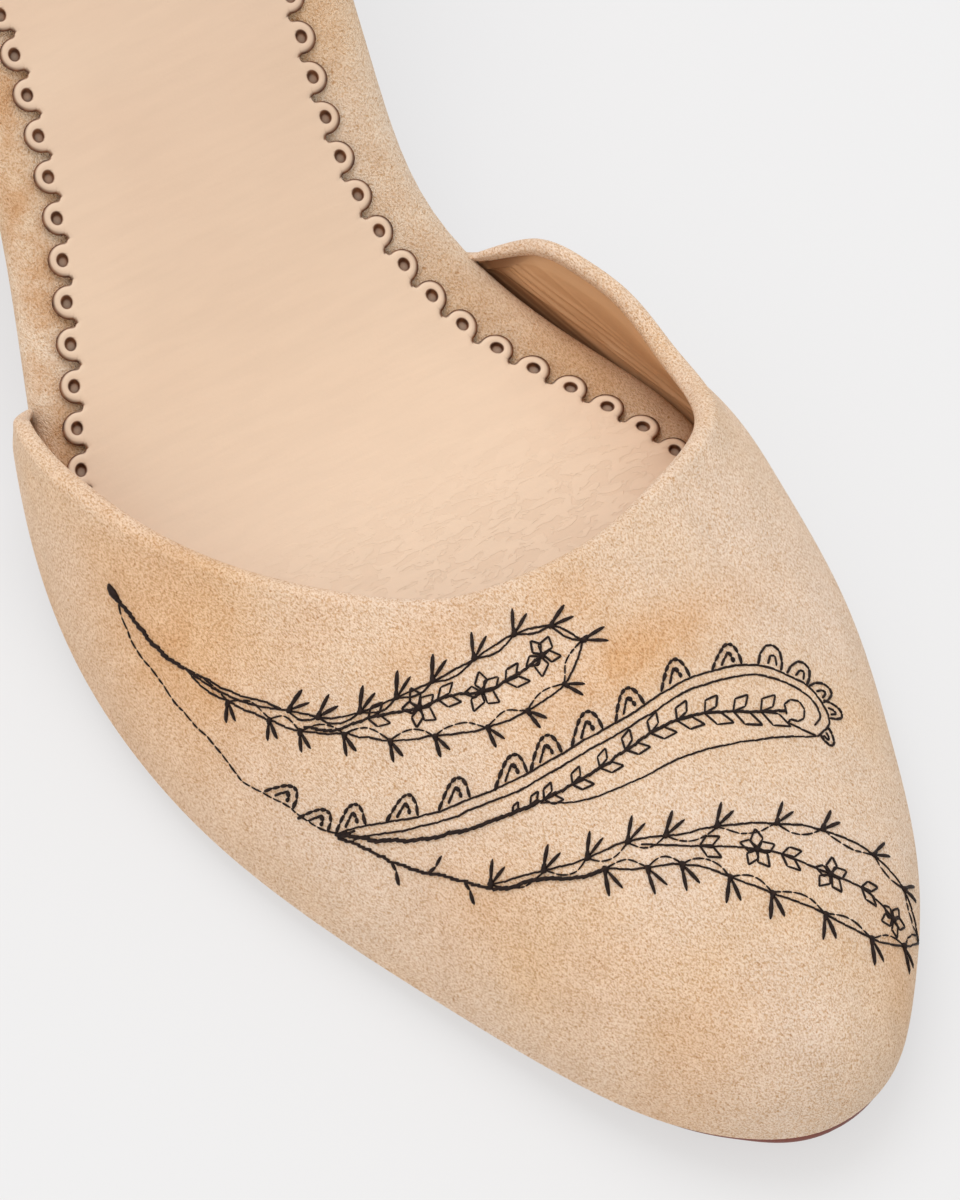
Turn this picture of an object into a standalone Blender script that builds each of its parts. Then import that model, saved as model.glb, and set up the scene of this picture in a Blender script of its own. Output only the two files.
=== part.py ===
"""A right two-piece suede pump on a slim block heel, as separate pieces.

The toe points to -Y, the heel to +Y, the big-toe side to +X and up is +Z.
Everything is worked out from the last: the outline of the insole board, the
rise of its underside from tread to heel seat, and the ribs of the two uppers.
Lengths in the tables are millimetres; meshes are made in metres.
"""
import bpy
import numpy as np

MM = 0.001
GAP = 0.3             # clearance between pieces that touch
UPPER_CLEAR = 0.45    # the same at the uppers' lower edge, where the wall leans
WALL = 2.0            # suede upper with its lining
SOLE_THICK = 2.6      # leather outsole
BOARD_THICK = 5.3     # suede-wrapped insole board
SOCK_THICK = 0.9      # leather sock that lies on the board
BOARD_LOW = SOLE_THICK + GAP
SOCK_LOW = BOARD_LOW + BOARD_THICK + GAP
SOCK_TOP = SOCK_LOW + SOCK_THICK
TOP_PIECE_THICK = 5.0

# Rise of the last's underside along the foot.
RAMP_START = 5.0      # the flat tread ends here
RAMP_LENGTH = 45.0
SHANK_SLOPE = 0.58
SEAT_START = 90.0     # the slope eases into the heel seat
SEAT_LENGTH = 45.0
SEAT_SLOPE = 0.15
SPRING_START = -30.0  # the toe lifts ahead of this
SPRING_LENGTH = 50.0
TOE_SPRING = 5.0

TOE_Y = -74.6
HEEL_Y = 157.0
TOE_X = 1.4
HEEL_X = 1.5

# Outline of the insole board: a row for each section along the foot, with
# the board's two edges and how far inside them the sock's row of holes lies.
BOARD_COLUMNS = ("y", "lateral", "medial", "sock_lateral", "sock_medial")
BOARD = (
    (-72.0, -5.6, 9.2, 6.0, 6.0),
    (-64.8, -12.8, 15.8, 6.0, 6.0),
    (-52.0, -20.0, 23.8, 5.0, 5.0),
    (-37.0, -26.8, 29.2, 4.0, 4.0),
    (-21.0, -33.6, 33.0, 4.0, 4.0),
    (-6.0, -38.2, 33.8, 4.0, 4.4),
    (8.0, -40.0, 33.8, 3.4, 4.7),
    (20.0, -39.8, 29.9, 3.7, 6.4),
    (33.0, -37.6, 23.9, 4.2, 8.4),
    (46.0, -33.3, 19.6, 5.5, 8.0),
    (60.0, -28.2, 20.7, 6.4, 8.0),
    (78.0, -24.0, 24.0, 6.3, 7.6),
    (100.0, -23.8, 26.6, 6.6, 6.8),
    (122.0, -25.4, 28.2, 5.4, 5.6),
    (142.0, -22.0, 25.0, 4.8, 4.8),
    (152.5, -12.3, 15.3, 4.6, 4.6),
)

# Ribs of the vamp, from its lateral tip round the toe to its medial tip.
# at: place along the foot edge, 0 to 1. x, y, high: the topline, with its
# height above the sock. flare, wall: how far the rib leans out and how high
# it stands before it turns in. crown, drop: reach and fall of the surface as
# it leaves the topline.
RIB_COLUMNS = ("at", "x", "y", "high", "flare", "wall", "crown", "drop")
VAMP_RIBS = (
    (0.000, -35.8, 44.9, -4.6, 0.0, 0.4, 0.0, 0.3),
    (0.020, -37.3, 40.8, -0.5, 0.2, 2.0, 0.1, 1.6),
    (0.045, -38.3, 35.8, 8.5, 0.5, 5.0, 0.8, 5.0),
    (0.080, -37.9, 28.4, 14.0, 0.8, 7.0, 2.5, 6.5),
    (0.130, -34.8, 19.3, 17.0, 0.6, 9.0, 4.5, 7.0),
    (0.190, -29.5, 9.5, 19.5, 0.2, 10.0, 7.0, 7.5),
    (0.270, -22.0, -0.5, 22.5, -0.3, 12.0, 12.0, 7.0),
    (0.370, -13.5, -8.5, 25.0, -0.6, 14.0, 20.0, 6.5),
    (0.500, -3.5, -12.0, 26.0, 0.4, 16.0, 30.0, 7.0),
    (0.620, 8.5, -11.5, 25.0, 2.0, 14.5, 22.0, 7.5),
    (0.720, 19.0, -7.8, 22.8, 2.6, 13.0, 13.0, 8.5),
    (0.795, 27.8, -2.4, 19.4, 2.8, 11.0, 6.0, 8.0),
    (0.850, 31.2, 4.4, 15.0, 2.9, 9.0, 2.0, 6.5),
    (0.900, 32.6, 13.2, 11.2, 2.8, 6.5, 0.4, 5.0),
    (0.940, 32.2, 21.8, 10.4, 2.0, 5.5, 0.0, 4.5),
    (0.972, 28.8, 29.6, 9.2, 0.8, 4.5, 0.0, 3.5),
    (0.988, 25.6, 34.6, 3.8, 0.2, 2.0, 0.0, 1.8),
    (1.000, 23.3, 39.0, -4.6, 0.0, 0.4, 0.0, 0.3),
)
VAMP_TIP_LATERAL = 45.0
VAMP_TIP_MEDIAL = 39.5
VAMP_RIB_COUNT = 76
VAMP_RIB_STEPS = 13

# Ribs of the heel counter, from its lateral tip round the back.
COUNTER_RIBS = (
    (0.000, -26.0, 82.4, -4.6, 0.0, 0.4, 0.0, 0.3),
    (0.040, -25.9, 88.0, 1.0, 0.2, 2.0, 0.2, 2.0),
    (0.120, -25.8, 98.5, 13.0, 0.8, 5.0, 0.4, 5.0),
    (0.230, -25.2, 113.0, 26.5, 1.8, 10.0, 1.0, 11.0),
    (0.350, -22.0, 130.0, 38.0, 2.6, 15.0, 2.4, 15.0),
    (0.430, -14.6, 144.0, 43.5, 3.0, 17.0, 4.0, 17.0),
    (0.500, 1.6, 152.2, 45.5, 3.2, 18.0, 5.0, 18.0),
    (0.570, 17.8, 144.0, 43.5, 3.0, 17.0, 4.0, 17.0),
    (0.650, 25.2, 130.0, 38.0, 2.6, 15.0, 2.4, 15.0),
    (0.770, 28.4, 113.0, 26.5, 1.8, 10.0, 1.0, 11.0),
    (0.880, 28.6, 98.5, 13.0, 0.8, 5.0, 0.4, 5.0),
    (0.960, 27.4, 88.0, 1.0, 0.2, 2.0, 0.2, 2.0),
    (1.000, 26.6, 82.4, -4.6, 0.0, 0.4, 0.0, 0.3),
)
COUNTER_TIP = 82.0
COUNTER_RIB_COUNT = 52
COUNTER_RIB_STEPS = 10

HEEL_BREAST_Y = 113.0  # front of the heel under the seat
HEEL_FOOT_FRONT = 128.0
HEEL_FOOT_BACK = 151.0
HEEL_FOOT_WIDTH = 23.0
HEEL_RINGS = 14

SCALLOP_PITCH = 4.8
SCALLOP_STEPS = 5
SCALLOP_LOBE = 1.9    # the lobes reach this far outside the row of holes
SCALLOP_NOTCH = -0.6


def column(table, names, name):
    """One named column of a table as an array."""
    return np.array([row[names.index(name)] for row in table], dtype=float)


def smoothstep(value):
    """0 below 0, 1 above 1 and a smooth rise between."""
    value = np.clip(value, 0.0, 1.0)
    return value * value * (3.0 - 2.0 * value)


def smoothstep_area(value):
    """The area under smoothstep from 0 to value."""
    inside = np.clip(value, 0.0, 1.0)
    return inside ** 3 - 0.5 * inside ** 4 + np.maximum(value - 1.0, 0.0)


def rise(y):
    """Height of the last's underside above the tread, at a place along the foot."""
    ramp = SHANK_SLOPE * RAMP_LENGTH * smoothstep_area((y - RAMP_START) / RAMP_LENGTH)
    ease = (SHANK_SLOPE - SEAT_SLOPE) * SEAT_LENGTH * smoothstep_area((y - SEAT_START) / SEAT_LENGTH)
    toe = TOE_SPRING * (np.maximum(SPRING_START - y, 0.0) / SPRING_LENGTH) ** 2
    return ramp - ease + toe


def spline(knots, values, at):
    """A natural cubic spline through the knots, read at the given places."""
    knots = np.asarray(knots, dtype=float)
    values = np.asarray(values, dtype=float)
    count = len(knots)
    step = np.diff(knots)
    matrix = np.eye(count)
    target = np.zeros(count)
    for i in range(1, count - 1):
        matrix[i, i - 1] = step[i - 1]
        matrix[i, i] = 2.0 * (step[i - 1] + step[i])
        matrix[i, i + 1] = step[i]
        target[i] = 6.0 * ((values[i + 1] - values[i]) / step[i] - (values[i] - values[i - 1]) / step[i - 1])
    bend = np.linalg.solve(matrix, target)
    at = np.asarray(at, dtype=float)
    i = np.clip(np.searchsorted(knots, at) - 1, 0, count - 2)
    right = (at - knots[i]) / step[i]
    left = 1.0 - right
    curve = (left ** 3 - left) * bend[i] + (right ** 3 - right) * bend[i + 1]
    return left * values[i] + right * values[i + 1] + curve * step[i] ** 2 / 6.0


def turn_of(y):
    """The angle that runs from 0 at the toe tip to pi at the heel's back."""
    return np.arccos(np.clip(1.0 - 2.0 * (y - TOE_Y) / (HEEL_Y - TOE_Y), -1.0, 1.0))


def y_of(turn):
    """The place along the foot at an angle from toe to heel."""
    return TOE_Y + (HEEL_Y - TOE_Y) * (1.0 - np.cos(turn)) / 2.0


def board_side(turn, side):
    """Points of one edge of the board and the outward normals there, in plan."""
    knots = np.concatenate([[0.0], turn_of(column(BOARD, BOARD_COLUMNS, "y")), [np.pi]])
    edge = np.concatenate([[TOE_X], column(BOARD, BOARD_COLUMNS, side), [HEEL_X]])

    def place(angle):
        return np.stack([spline(knots, edge, angle), y_of(angle)], axis=-1)

    small = 1e-3
    back = np.clip(turn - small, 0.0, np.pi)
    ahead = np.clip(turn + small, 0.0, np.pi)
    along = place(ahead) - place(back)
    along /= np.linalg.norm(along, axis=-1, keepdims=True)
    hand = 1.0 if side == "medial" else -1.0
    outward = np.stack([along[..., 1], -along[..., 0]], axis=-1) * hand
    return place(turn), outward


def outline(turns, out):
    """The board's outline moved out: lateral from heel to toe, then medial back.

    out is one distance, or a function of place along the foot and side.
    """
    halves = []
    for side, order in (("lateral", turns[::-1]), ("medial", turns)):
        place, outward = board_side(order, side)
        distance = out(place[:, 1], side) if callable(out) else out
        halves.append(place + outward * np.reshape(distance, (-1, 1)) * np.ones((len(order), 1)))
    return np.concatenate(halves)


def raised(plan, height):
    """Plan points at a height above the last's underside."""
    return np.column_stack([plan, rise(plan[:, 1]) + height])


def strip_cap(first, count, flip):
    """Quads across a ring whose points pair off from its two ends."""
    faces = []
    for i in range(count // 2 - 1):
        j = count - 1 - i
        face = (first + i, first + i + 1, first + j - 1, first + j)
        faces.append(face[::-1] if flip else face)
    return faces


def loft(name, rings):
    """A closed body through rings of paired points, from its underside up."""
    count = len(rings[0])
    points = np.concatenate(rings) * MM
    faces = strip_cap(0, count, True)
    for k in range(len(rings) - 1):
        for i in range(count):
            j = (i + 1) % count
            low = k * count
            faces.append((low + i, low + j, low + count + j, low + count + i))
    faces += strip_cap((len(rings) - 1) * count, count, False)
    return mesh_object(name, points, faces)


def mesh_object(name, points, faces):
    """A mesh object from points and faces, shaded smooth."""
    mesh = bpy.data.meshes.new(name)
    mesh.from_pydata(points.tolist(), [], faces)
    mesh.validate()
    mesh.shade_smooth()
    mesh.set_sharp_from_angle(angle=np.radians(40.0))
    return bpy.data.objects.new(name, mesh)


def foot_edge(tip_lateral, tip_medial, round_the_toe, count):
    """The upper's foot edge in plan, evenly spaced, with outward normals."""
    dense = 400
    end = 0.0 if round_the_toe else np.pi
    first = board_side(np.linspace(turn_of(tip_lateral), end, dense), "lateral")
    second = board_side(np.linspace(end, turn_of(tip_medial), dense)[1:], "medial")
    place = np.concatenate([first[0], second[0]])
    outward = np.concatenate([first[1], second[1]])
    outward[dense - 1] = (0.0, -1.0 if round_the_toe else 1.0)
    place = place + outward * (UPPER_CLEAR + WALL)
    length = np.concatenate([[0.0], np.cumsum(np.linalg.norm(np.diff(place, axis=0), axis=1))])
    even = np.linspace(0.0, length[-1], count)
    place = np.stack([np.interp(even, length, place[:, k]) for k in range(2)], axis=1)
    outward = np.stack([np.interp(even, length, outward[:, k]) for k in range(2)], axis=1)
    return place, outward / np.linalg.norm(outward, axis=1, keepdims=True)


def shell(name, ribs, tips, round_the_toe, rib_count, steps):
    """An upper piece: a wall through ribs that rise from the foot edge to the topline.

    Each rib is a cubic Bezier curve. Its foot stands on the sole's edge, leans
    out by flare over the first stretch, and turns in to the topline.
    """
    at = np.linspace(0.0, 1.0, rib_count)
    foot, outward = foot_edge(tips[0], tips[1], round_the_toe, rib_count)
    read = {n: spline(column(ribs, RIB_COLUMNS, "at"), column(ribs, RIB_COLUMNS, n), at)
            for n in RIB_COLUMNS[1:]}
    top = np.stack([read["x"], read["y"]], axis=1)
    zero = np.zeros((rib_count, 1))
    low = raised(foot, SOLE_THICK + UPPER_CLEAR)
    high = raised(top, SOCK_TOP + read["high"])
    out = np.concatenate([outward, zero], axis=1)
    fall = low - high
    fall[:, 2] = 0.0
    reach = np.linalg.norm(fall, axis=1, keepdims=True)
    fall = np.where(reach > 1.0, fall / np.maximum(reach, 1e-6), out)
    up = np.array([0.0, 0.0, 1.0])
    second = low + out * read["flare"][:, None] + up * read["wall"][:, None]
    third = high + fall * read["crown"][:, None] - up * read["drop"][:, None]
    rows = []
    for v in np.linspace(0.0, 1.0, steps):
        w = 1.0 - v
        rows.append(w ** 3 * low + 3 * w * w * v * second + 3 * w * v * v * third + v ** 3 * high)
    points = np.concatenate(rows) * MM
    faces = []
    for j in range(steps - 1):
        for i in range(rib_count - 1):
            a = j * rib_count + i
            faces.append((a, a + 1, a + rib_count + 1, a + rib_count))
    if not round_the_toe:
        faces = [face[::-1] for face in faces]
    obj = mesh_object(name, points, faces)
    wall = obj.modifiers.new("wall", "SOLIDIFY")
    wall.thickness = WALL * MM
    wall.offset = -1.0
    wall.use_even_offset = True
    return obj


def footbed():
    """The insole board wrapped in suede, its edge a soft quarter round."""
    turns = np.linspace(0.03, np.pi - 0.03, 60)
    edge = 4.2
    rings = []
    for part in (0.0, 0.25, 0.5, 0.75, 1.0):
        angle = part * np.pi / 2.0
        inset = edge * (1.0 - np.cos(angle))
        height = 0.8 + (BOARD_THICK - 0.8) * np.sin(angle)
        rings.append(raised(outline(turns, -inset), BOARD_LOW + height))
    rings.insert(0, raised(outline(turns, -0.8), BOARD_LOW))
    return loft("footbed", rings)


def sock_edge(turns, lobes):
    """Outline of the sock: inside the board by the table's insets, plus its lobes."""
    knots = column(BOARD, BOARD_COLUMNS, "y")

    def out(y, side):
        inset = np.interp(y, knots, column(BOARD, BOARD_COLUMNS, "sock_" + side))
        return lobes[::-1] - inset if side == "lateral" else lobes - inset

    return outline(turns, out)


def sock():
    """The leather sock on the board, its edge a row of round scallops."""
    turns = np.linspace(0.05, np.pi - 0.05, 1200)
    plain = sock_edge(turns, np.zeros(len(turns)))[len(turns):]
    length = np.concatenate([[0.0], np.cumsum(np.linalg.norm(np.diff(plain, axis=0), axis=1))])
    scallops = int(length[-1] / SCALLOP_PITCH)
    stops = np.linspace(0.0, length[-1], scallops * SCALLOP_STEPS + 1)
    places = np.interp(stops, length, turns)
    phase = (np.arange(len(stops)) % SCALLOP_STEPS) / SCALLOP_STEPS
    lobe = SCALLOP_NOTCH + (SCALLOP_LOBE - SCALLOP_NOTCH) * np.sqrt(np.sin(np.pi * phase))
    shown = smoothstep((y_of(places) + 20.0) / 10.0)
    edge = sock_edge(places, SCALLOP_LOBE + (lobe - SCALLOP_LOBE) * shown)
    return loft("sock", [raised(edge, SOCK_LOW), raised(edge, SOCK_TOP)])


def outsole():
    """The leather outsole from the toe to the heel breast."""
    turns = np.linspace(0.03, turn_of(HEEL_BREAST_Y - GAP), 48)

    def out(y, side):
        under_vamp = 0.8 * smoothstep((50.0 - y) / 20.0) + 1.0 * smoothstep((-50.0 - y) / 20.0)
        waist = -1.6 * smoothstep((y - 40.0) / 20.0) * smoothstep((108.0 - y) / 20.0)
        return under_vamp + waist

    def narrow(y, side):
        return out(y, side) - 0.7

    low = raised(outline(turns, narrow), 0.0)
    rings = [low, raised(outline(turns, out), 0.7), raised(outline(turns, out), SOLE_THICK)]
    return loft("outsole", rings)


def heel_outline(blend):
    """Plan ring of the heel: the seat at blend 1, the small foot at blend 0."""
    turns = np.linspace(turn_of(HEEL_BREAST_Y), np.pi - 0.04, 18)
    seat = outline(turns, 1.2)
    count = len(turns)
    width = HEEL_FOOT_WIDTH / 2.0
    depth = HEEL_FOOT_BACK - HEEL_FOOT_FRONT
    # a squared-off ellipse: 0 at the breast's corner, 1 at the back
    part = np.linspace(0.0, 1.0, count)
    side = np.cos(part * np.pi / 2.0 * 0.97) ** 0.55
    along = HEEL_FOOT_FRONT + depth * np.sin(part * np.pi / 2.0 * 0.97) ** 1.1
    foot_medial = np.stack([HEEL_X + width * side * (0.86 + 0.14 * np.sin(part * np.pi)), along], axis=1)
    foot_lateral = foot_medial * (-1.0, 1.0) + (2.0 * HEEL_X, 0.0)
    foot = np.concatenate([foot_lateral[::-1], foot_medial])
    return foot * (1.0 - blend) + seat * blend


def heel():
    """The covered heel block, from the seat down to a small foot."""
    rings = []
    low = TOP_PIECE_THICK + GAP
    for k in range(HEEL_RINGS + 1):
        s = k / HEEL_RINGS
        side = heel_outline(0.10 * s + 0.90 * s ** 2.6)
        back = heel_outline(0.45 * s + 0.55 * s ** 2.0)
        ring = np.column_stack([side[:, 0], side[:, 1]])
        rear = smoothstep((side[:, 1] - 128.0) / 18.0)
        ring[:, 1] = side[:, 1] * (1.0 - rear) + back[:, 1] * rear
        top = rise(ring[:, 1]) + SOLE_THICK
        rings.append(np.column_stack([ring, low + (top - low) * s]))
    return loft("heel", rings)


def top_piece():
    """The rubber top piece under the heel."""
    foot = heel_outline(0.0)
    low = np.column_stack([foot, np.zeros(len(foot))])
    high = np.column_stack([foot, np.full(len(foot), TOP_PIECE_THICK)])
    return loft("top_piece", [low, high])


def vamp():
    """The closed toe and its two wings."""
    return shell("vamp", VAMP_RIBS, (VAMP_TIP_LATERAL, VAMP_TIP_MEDIAL), True,
                 VAMP_RIB_COUNT, VAMP_RIB_STEPS)


def counter():
    """The closed heel cup."""
    return shell("counter", COUNTER_RIBS, (COUNTER_TIP, COUNTER_TIP), False,
                 COUNTER_RIB_COUNT, COUNTER_RIB_STEPS)


def material(name, colour, roughness):
    """A plain surface finish."""
    made = bpy.data.materials.new(name)
    made.use_nodes = True
    shader = made.node_tree.nodes["Principled BSDF"]
    shader.inputs["Base Color"].default_value = (*colour, 1.0)
    shader.inputs["Roughness"].default_value = roughness
    shader.inputs["Metallic"].default_value = 0.0
    return made


SUEDE = (0.66, 0.46, 0.30)
PIECES = (
    (outsole, (0.30, 0.12, 0.08), 0.6),
    (footbed, SUEDE, 0.9),
    (sock, (0.78, 0.58, 0.42), 0.55),
    (vamp, SUEDE, 0.9),
    (counter, SUEDE, 0.9),
    (heel, SUEDE, 0.9),
    (top_piece, (0.05, 0.04, 0.04), 0.7),
)


def main():
    for old in list(bpy.data.objects):
        bpy.data.objects.remove(old)
    shoe = bpy.data.collections.new("pump")
    bpy.context.scene.collection.children.link(shoe)
    centre = bpy.data.objects.new("shoe_centre", None)
    shoe.objects.link(centre)
    low = np.full(3, np.inf)
    high = np.full(3, -np.inf)
    for build, colour, roughness in PIECES:
        obj = build()
        obj.data.materials.append(material(obj.name, colour, roughness))
        obj.parent = centre
        shoe.objects.link(obj)
        points = np.array([vertex.co for vertex in obj.data.vertices])
        low = np.minimum(low, points.min(axis=0))
        high = np.maximum(high, points.max(axis=0))
    middle = (low + high) / 2.0
    centre.location = (-middle[0], -middle[1], 0.0)


main()
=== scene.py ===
"""A right beige suede pump with an embroidered toe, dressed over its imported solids.

Shapes are worked out in the last's own millimetres: y runs from the toe (-)
to the heel (+), x from the little-toe side (-) to the big-toe side (+), and z
is up from the ground. The sole, the board, the counter and the heel follow the
same named values as the solids; the vamp's ribs and the sock's scallops refine
theirs. `to_frame` carries points into the row frame.
"""

import bmesh
import bpy
import numpy as np
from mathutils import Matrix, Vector


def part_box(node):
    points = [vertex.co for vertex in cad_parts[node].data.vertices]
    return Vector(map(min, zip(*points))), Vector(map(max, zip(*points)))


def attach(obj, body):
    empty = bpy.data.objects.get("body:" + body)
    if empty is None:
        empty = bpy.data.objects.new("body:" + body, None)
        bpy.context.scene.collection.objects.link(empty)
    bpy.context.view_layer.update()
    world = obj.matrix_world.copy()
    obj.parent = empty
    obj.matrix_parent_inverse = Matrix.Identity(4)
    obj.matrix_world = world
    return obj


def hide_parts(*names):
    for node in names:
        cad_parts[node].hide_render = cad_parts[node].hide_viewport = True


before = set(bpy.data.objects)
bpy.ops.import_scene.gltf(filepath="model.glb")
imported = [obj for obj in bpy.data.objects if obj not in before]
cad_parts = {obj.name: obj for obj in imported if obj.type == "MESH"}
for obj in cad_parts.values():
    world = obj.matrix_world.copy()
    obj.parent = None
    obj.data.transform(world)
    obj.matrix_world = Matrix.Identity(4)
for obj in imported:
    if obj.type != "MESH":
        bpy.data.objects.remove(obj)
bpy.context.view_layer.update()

MM = 0.001
GAP = 0.3             # clearance between pieces that touch
UPPER_CLEAR = 0.45    # the same at the uppers' lower edge, where the wall leans
WALL = 2.0            # suede upper with its lining
SOLE_THICK = 2.6
BOARD_THICK = 5.3
SOCK_THICK = 0.9
BOARD_LOW = SOLE_THICK + GAP
SOCK_TOP = BOARD_LOW + BOARD_THICK + GAP + SOCK_THICK
TOP_PIECE_THICK = 5.0

RAMP_START = 5.0      # the flat tread ends here
RAMP_LENGTH = 45.0
SHANK_SLOPE = 0.58
SEAT_START = 90.0     # the slope eases into the heel seat
SEAT_LENGTH = 45.0
SEAT_SLOPE = 0.15
SPRING_START = -30.0  # the toe lifts ahead of this
SPRING_LENGTH = 50.0
TOE_SPRING = 5.0

TOE_Y = -74.6
HEEL_Y = 157.0
TOE_X = 1.4
HEEL_X = 1.5

# Outline of the insole board, and how far inside it the sock's holes lie.
BOARD = {
    "y": (-72.0, -64.8, -52.0, -37.0, -21.0, -6.0, 8.0, 20.0, 33.0, 46.0, 60.0, 78.0, 100.0, 122.0, 142.0, 152.5),
    "lateral": (-5.6, -12.8, -20.0, -26.8, -33.6, -38.2, -40.0, -39.8, -37.6, -33.3, -28.2, -24.0, -23.8, -25.4,
                -22.0, -12.3),
    "medial": (9.2, 15.8, 23.8, 29.2, 33.0, 33.8, 33.8, 29.9, 23.9, 19.6, 20.7, 24.0, 26.6, 28.2, 25.0, 15.3),
    "holes_lateral": (6.0, 6.0, 5.0, 4.0, 4.0, 4.0, 3.4, 3.7, 4.2, 5.5, 6.4, 6.3, 6.6, 5.4, 4.8, 4.6),
    "holes_medial": (6.0, 6.0, 5.0, 4.0, 4.0, 4.4, 4.7, 6.4, 8.4, 8.0, 8.0, 7.6, 6.8, 5.6, 4.8, 4.6),
}

# Ribs of the two uppers, a row for each: place along the foot edge, the
# topline's x and y and its height over the sock, how far the rib leans out,
# how high it stands, and the reach and fall of its last stretch.
RIB_COLUMNS = ("at", "x", "y", "high", "flare", "wall", "crown", "drop")
VAMP_RIBS = (
    (0.000, -36.5, 45.0, -2.4, 0.0, 0.4, 0.0, 0.3),
    (0.012, -37.2, 42.2, 1.6, 0.1, 2.6, 0.0, 2.6),
    (0.030, -38.0, 38.6, 5.6, 0.3, 4.0, 0.4, 4.0),
    (0.055, -38.3, 33.2, 10.0, 0.4, 5.4, 1.2, 5.4),
    (0.080, -37.7, 28.4, 13.5, 0.5, 7.0, 2.5, 6.5),
    (0.130, -34.8, 19.3, 17.3, 0.3, 9.0, 4.5, 7.0),
    (0.190, -29.5, 9.5, 19.5, 0.1, 10.0, 7.0, 7.5),
    (0.270, -22.0, -0.5, 22.5, -0.3, 12.0, 12.0, 7.0),
    (0.370, -13.5, -8.5, 25.0, -0.6, 14.0, 20.0, 6.5),
    (0.500, -3.5, -12.0, 26.0, 0.4, 16.0, 30.0, 7.0),
    (0.620, 8.5, -11.5, 25.0, 2.0, 14.5, 22.0, 7.5),
    (0.720, 19.0, -7.8, 22.8, 2.6, 13.0, 13.0, 8.5),
    (0.795, 28.5, -2.4, 19.4, 2.7, 11.0, 6.0, 8.0),
    (0.850, 32.05, 4.4, 15.0, 2.7, 9.0, 2.0, 6.5),
    (0.900, 32.85, 13.2, 11.3, 2.7, 6.5, 0.4, 5.0),
    (0.940, 32.15, 21.8, 10.1, 2.0, 5.5, 0.0, 4.5),
    (0.968, 29.85, 28.6, 8.2, 0.9, 4.5, 0.0, 3.6),
    (0.986, 27.0, 34.0, 4.8, 0.3, 2.4, 0.0, 2.2),
    (1.000, 23.4, 39.6, -3.2, 0.0, 0.4, 0.0, 0.3),
)
COUNTER_RIBS = (
    (0.000, -26.0, 82.4, -4.6, 0.0, 0.4, 0.0, 0.3),
    (0.040, -25.9, 88.0, 1.0, 0.2, 2.0, 0.2, 2.0),
    (0.120, -25.8, 98.5, 13.0, 0.8, 5.0, 0.4, 5.0),
    (0.230, -25.2, 113.0, 26.5, 1.8, 10.0, 1.0, 11.0),
    (0.350, -22.0, 130.0, 38.0, 2.6, 15.0, 2.4, 15.0),
    (0.430, -14.6, 144.0, 43.5, 3.0, 17.0, 4.0, 17.0),
    (0.500, 1.6, 152.2, 45.5, 3.2, 18.0, 5.0, 18.0),
    (0.570, 17.8, 144.0, 43.5, 3.0, 17.0, 4.0, 17.0),
    (0.650, 25.2, 130.0, 38.0, 2.6, 15.0, 2.4, 15.0),
    (0.770, 28.4, 113.0, 26.5, 1.8, 10.0, 1.0, 11.0),
    (0.880, 28.6, 98.5, 13.0, 0.8, 5.0, 0.4, 5.0),
    (0.960, 27.4, 88.0, 1.0, 0.2, 2.0, 0.2, 2.0),
    (1.000, 26.6, 82.4, -4.6, 0.0, 0.4, 0.0, 0.3),
)
VAMP_TIPS = (45.1, 40.2)      # where an upper ends along the foot, little-toe side first
COUNTER_TIPS = (82.0, 82.0)
VAMP_GRID = (361, 81)     # how many ribs an upper's face is worked out on, and points on each
COUNTER_GRID = (241, 61)

HEEL_BREAST_Y = 113.0  # front of the heel under the seat
HEEL_FOOT_FRONT = 128.0
HEEL_FOOT_BACK = 151.0
HEEL_FOOT_WIDTH = 23.0

BOARD_STEPS = 150     # places along each side of the board, the sole and the heel
SOLE_STEPS = 120
HEEL_STEPS = 54
HEEL_RINGS = 44

# The sock's edge: one round lobe with a hole in it at every pitch.
SCALLOP_PITCH = 4.83
SCALLOP_FIRST = 0.40
SCALLOP_START_Y = -20.0
LOBE_SET = 0.28       # the lobe's centre lies this far inside its hole
NOTCH_DEPTH = 0.82
NOTCH_WIDTH = 0.84
HOLE_ALONG = 0.72     # half the hole's length, and half its width
HOLE_ACROSS = 0.62
SOCK_EDGE = 1.7       # the sock's edge lies this far outside the row of holes
SOCK_INNER = 3.2      # and the line where the scallops meet its plain middle this far inside

# Embroidery: thread widths, the length of a stitch, and the motifs. Each
# motif is strokes of (width, points), a point being how far along the line
# it stands on and how far out from it.
THIN, FINE, MEDIUM, THICK = 0.22, 0.28, 0.36, 0.48
STITCH = 1.3
ROPE_STITCH = 0.85    # shorter on the thicker lines, which are sewn over themselves
SPRIG = ((0.42, ((0.10, 0.45), (1.25, 2.80))), (0.40, ((0.30, 0.20), (2.45, 1.60))),
         (0.62, ((-0.38, -0.12), (0.42, 0.18))), (0.50, ((-0.10, -0.28), (0.30, 0.85))))
SINGLE_LEAF = ((0.38, ((0.0, 0.0), (0.9, 0.9), (1.6, 2.4))),)
PETAL = ((FINE, ((0.20, 0.0), (0.85, 0.75), (2.25, 0.15), (1.25, -0.70), (0.20, 0.0))),)
FLOWER_HEART = ((0.62, ((-0.42, -0.12), (0.42, 0.12))), (0.58, ((-0.10, -0.42), (0.10, 0.42))))
OPEN_LEAF = ((FINE, ((0.0, 0.0), (0.80, 1.15), (2.35, 1.20), (1.50, 0.15), (0.0, 0.0))),)
ARCH = ((0.38, ((-2.9, 0.0), (-2.0, 0.95), (-1.1, 1.80), (-0.3, 2.45), (0.5, 2.75), (1.15, 2.5), (1.4, 1.5),
                (1.25, 0.1))),
        (0.34, ((-1.45, 0.35), (-0.65, 1.15), (0.1, 1.85))), (0.44, ((0.1, 1.85), (0.35, 1.15), (0.25, 0.45))))
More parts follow.
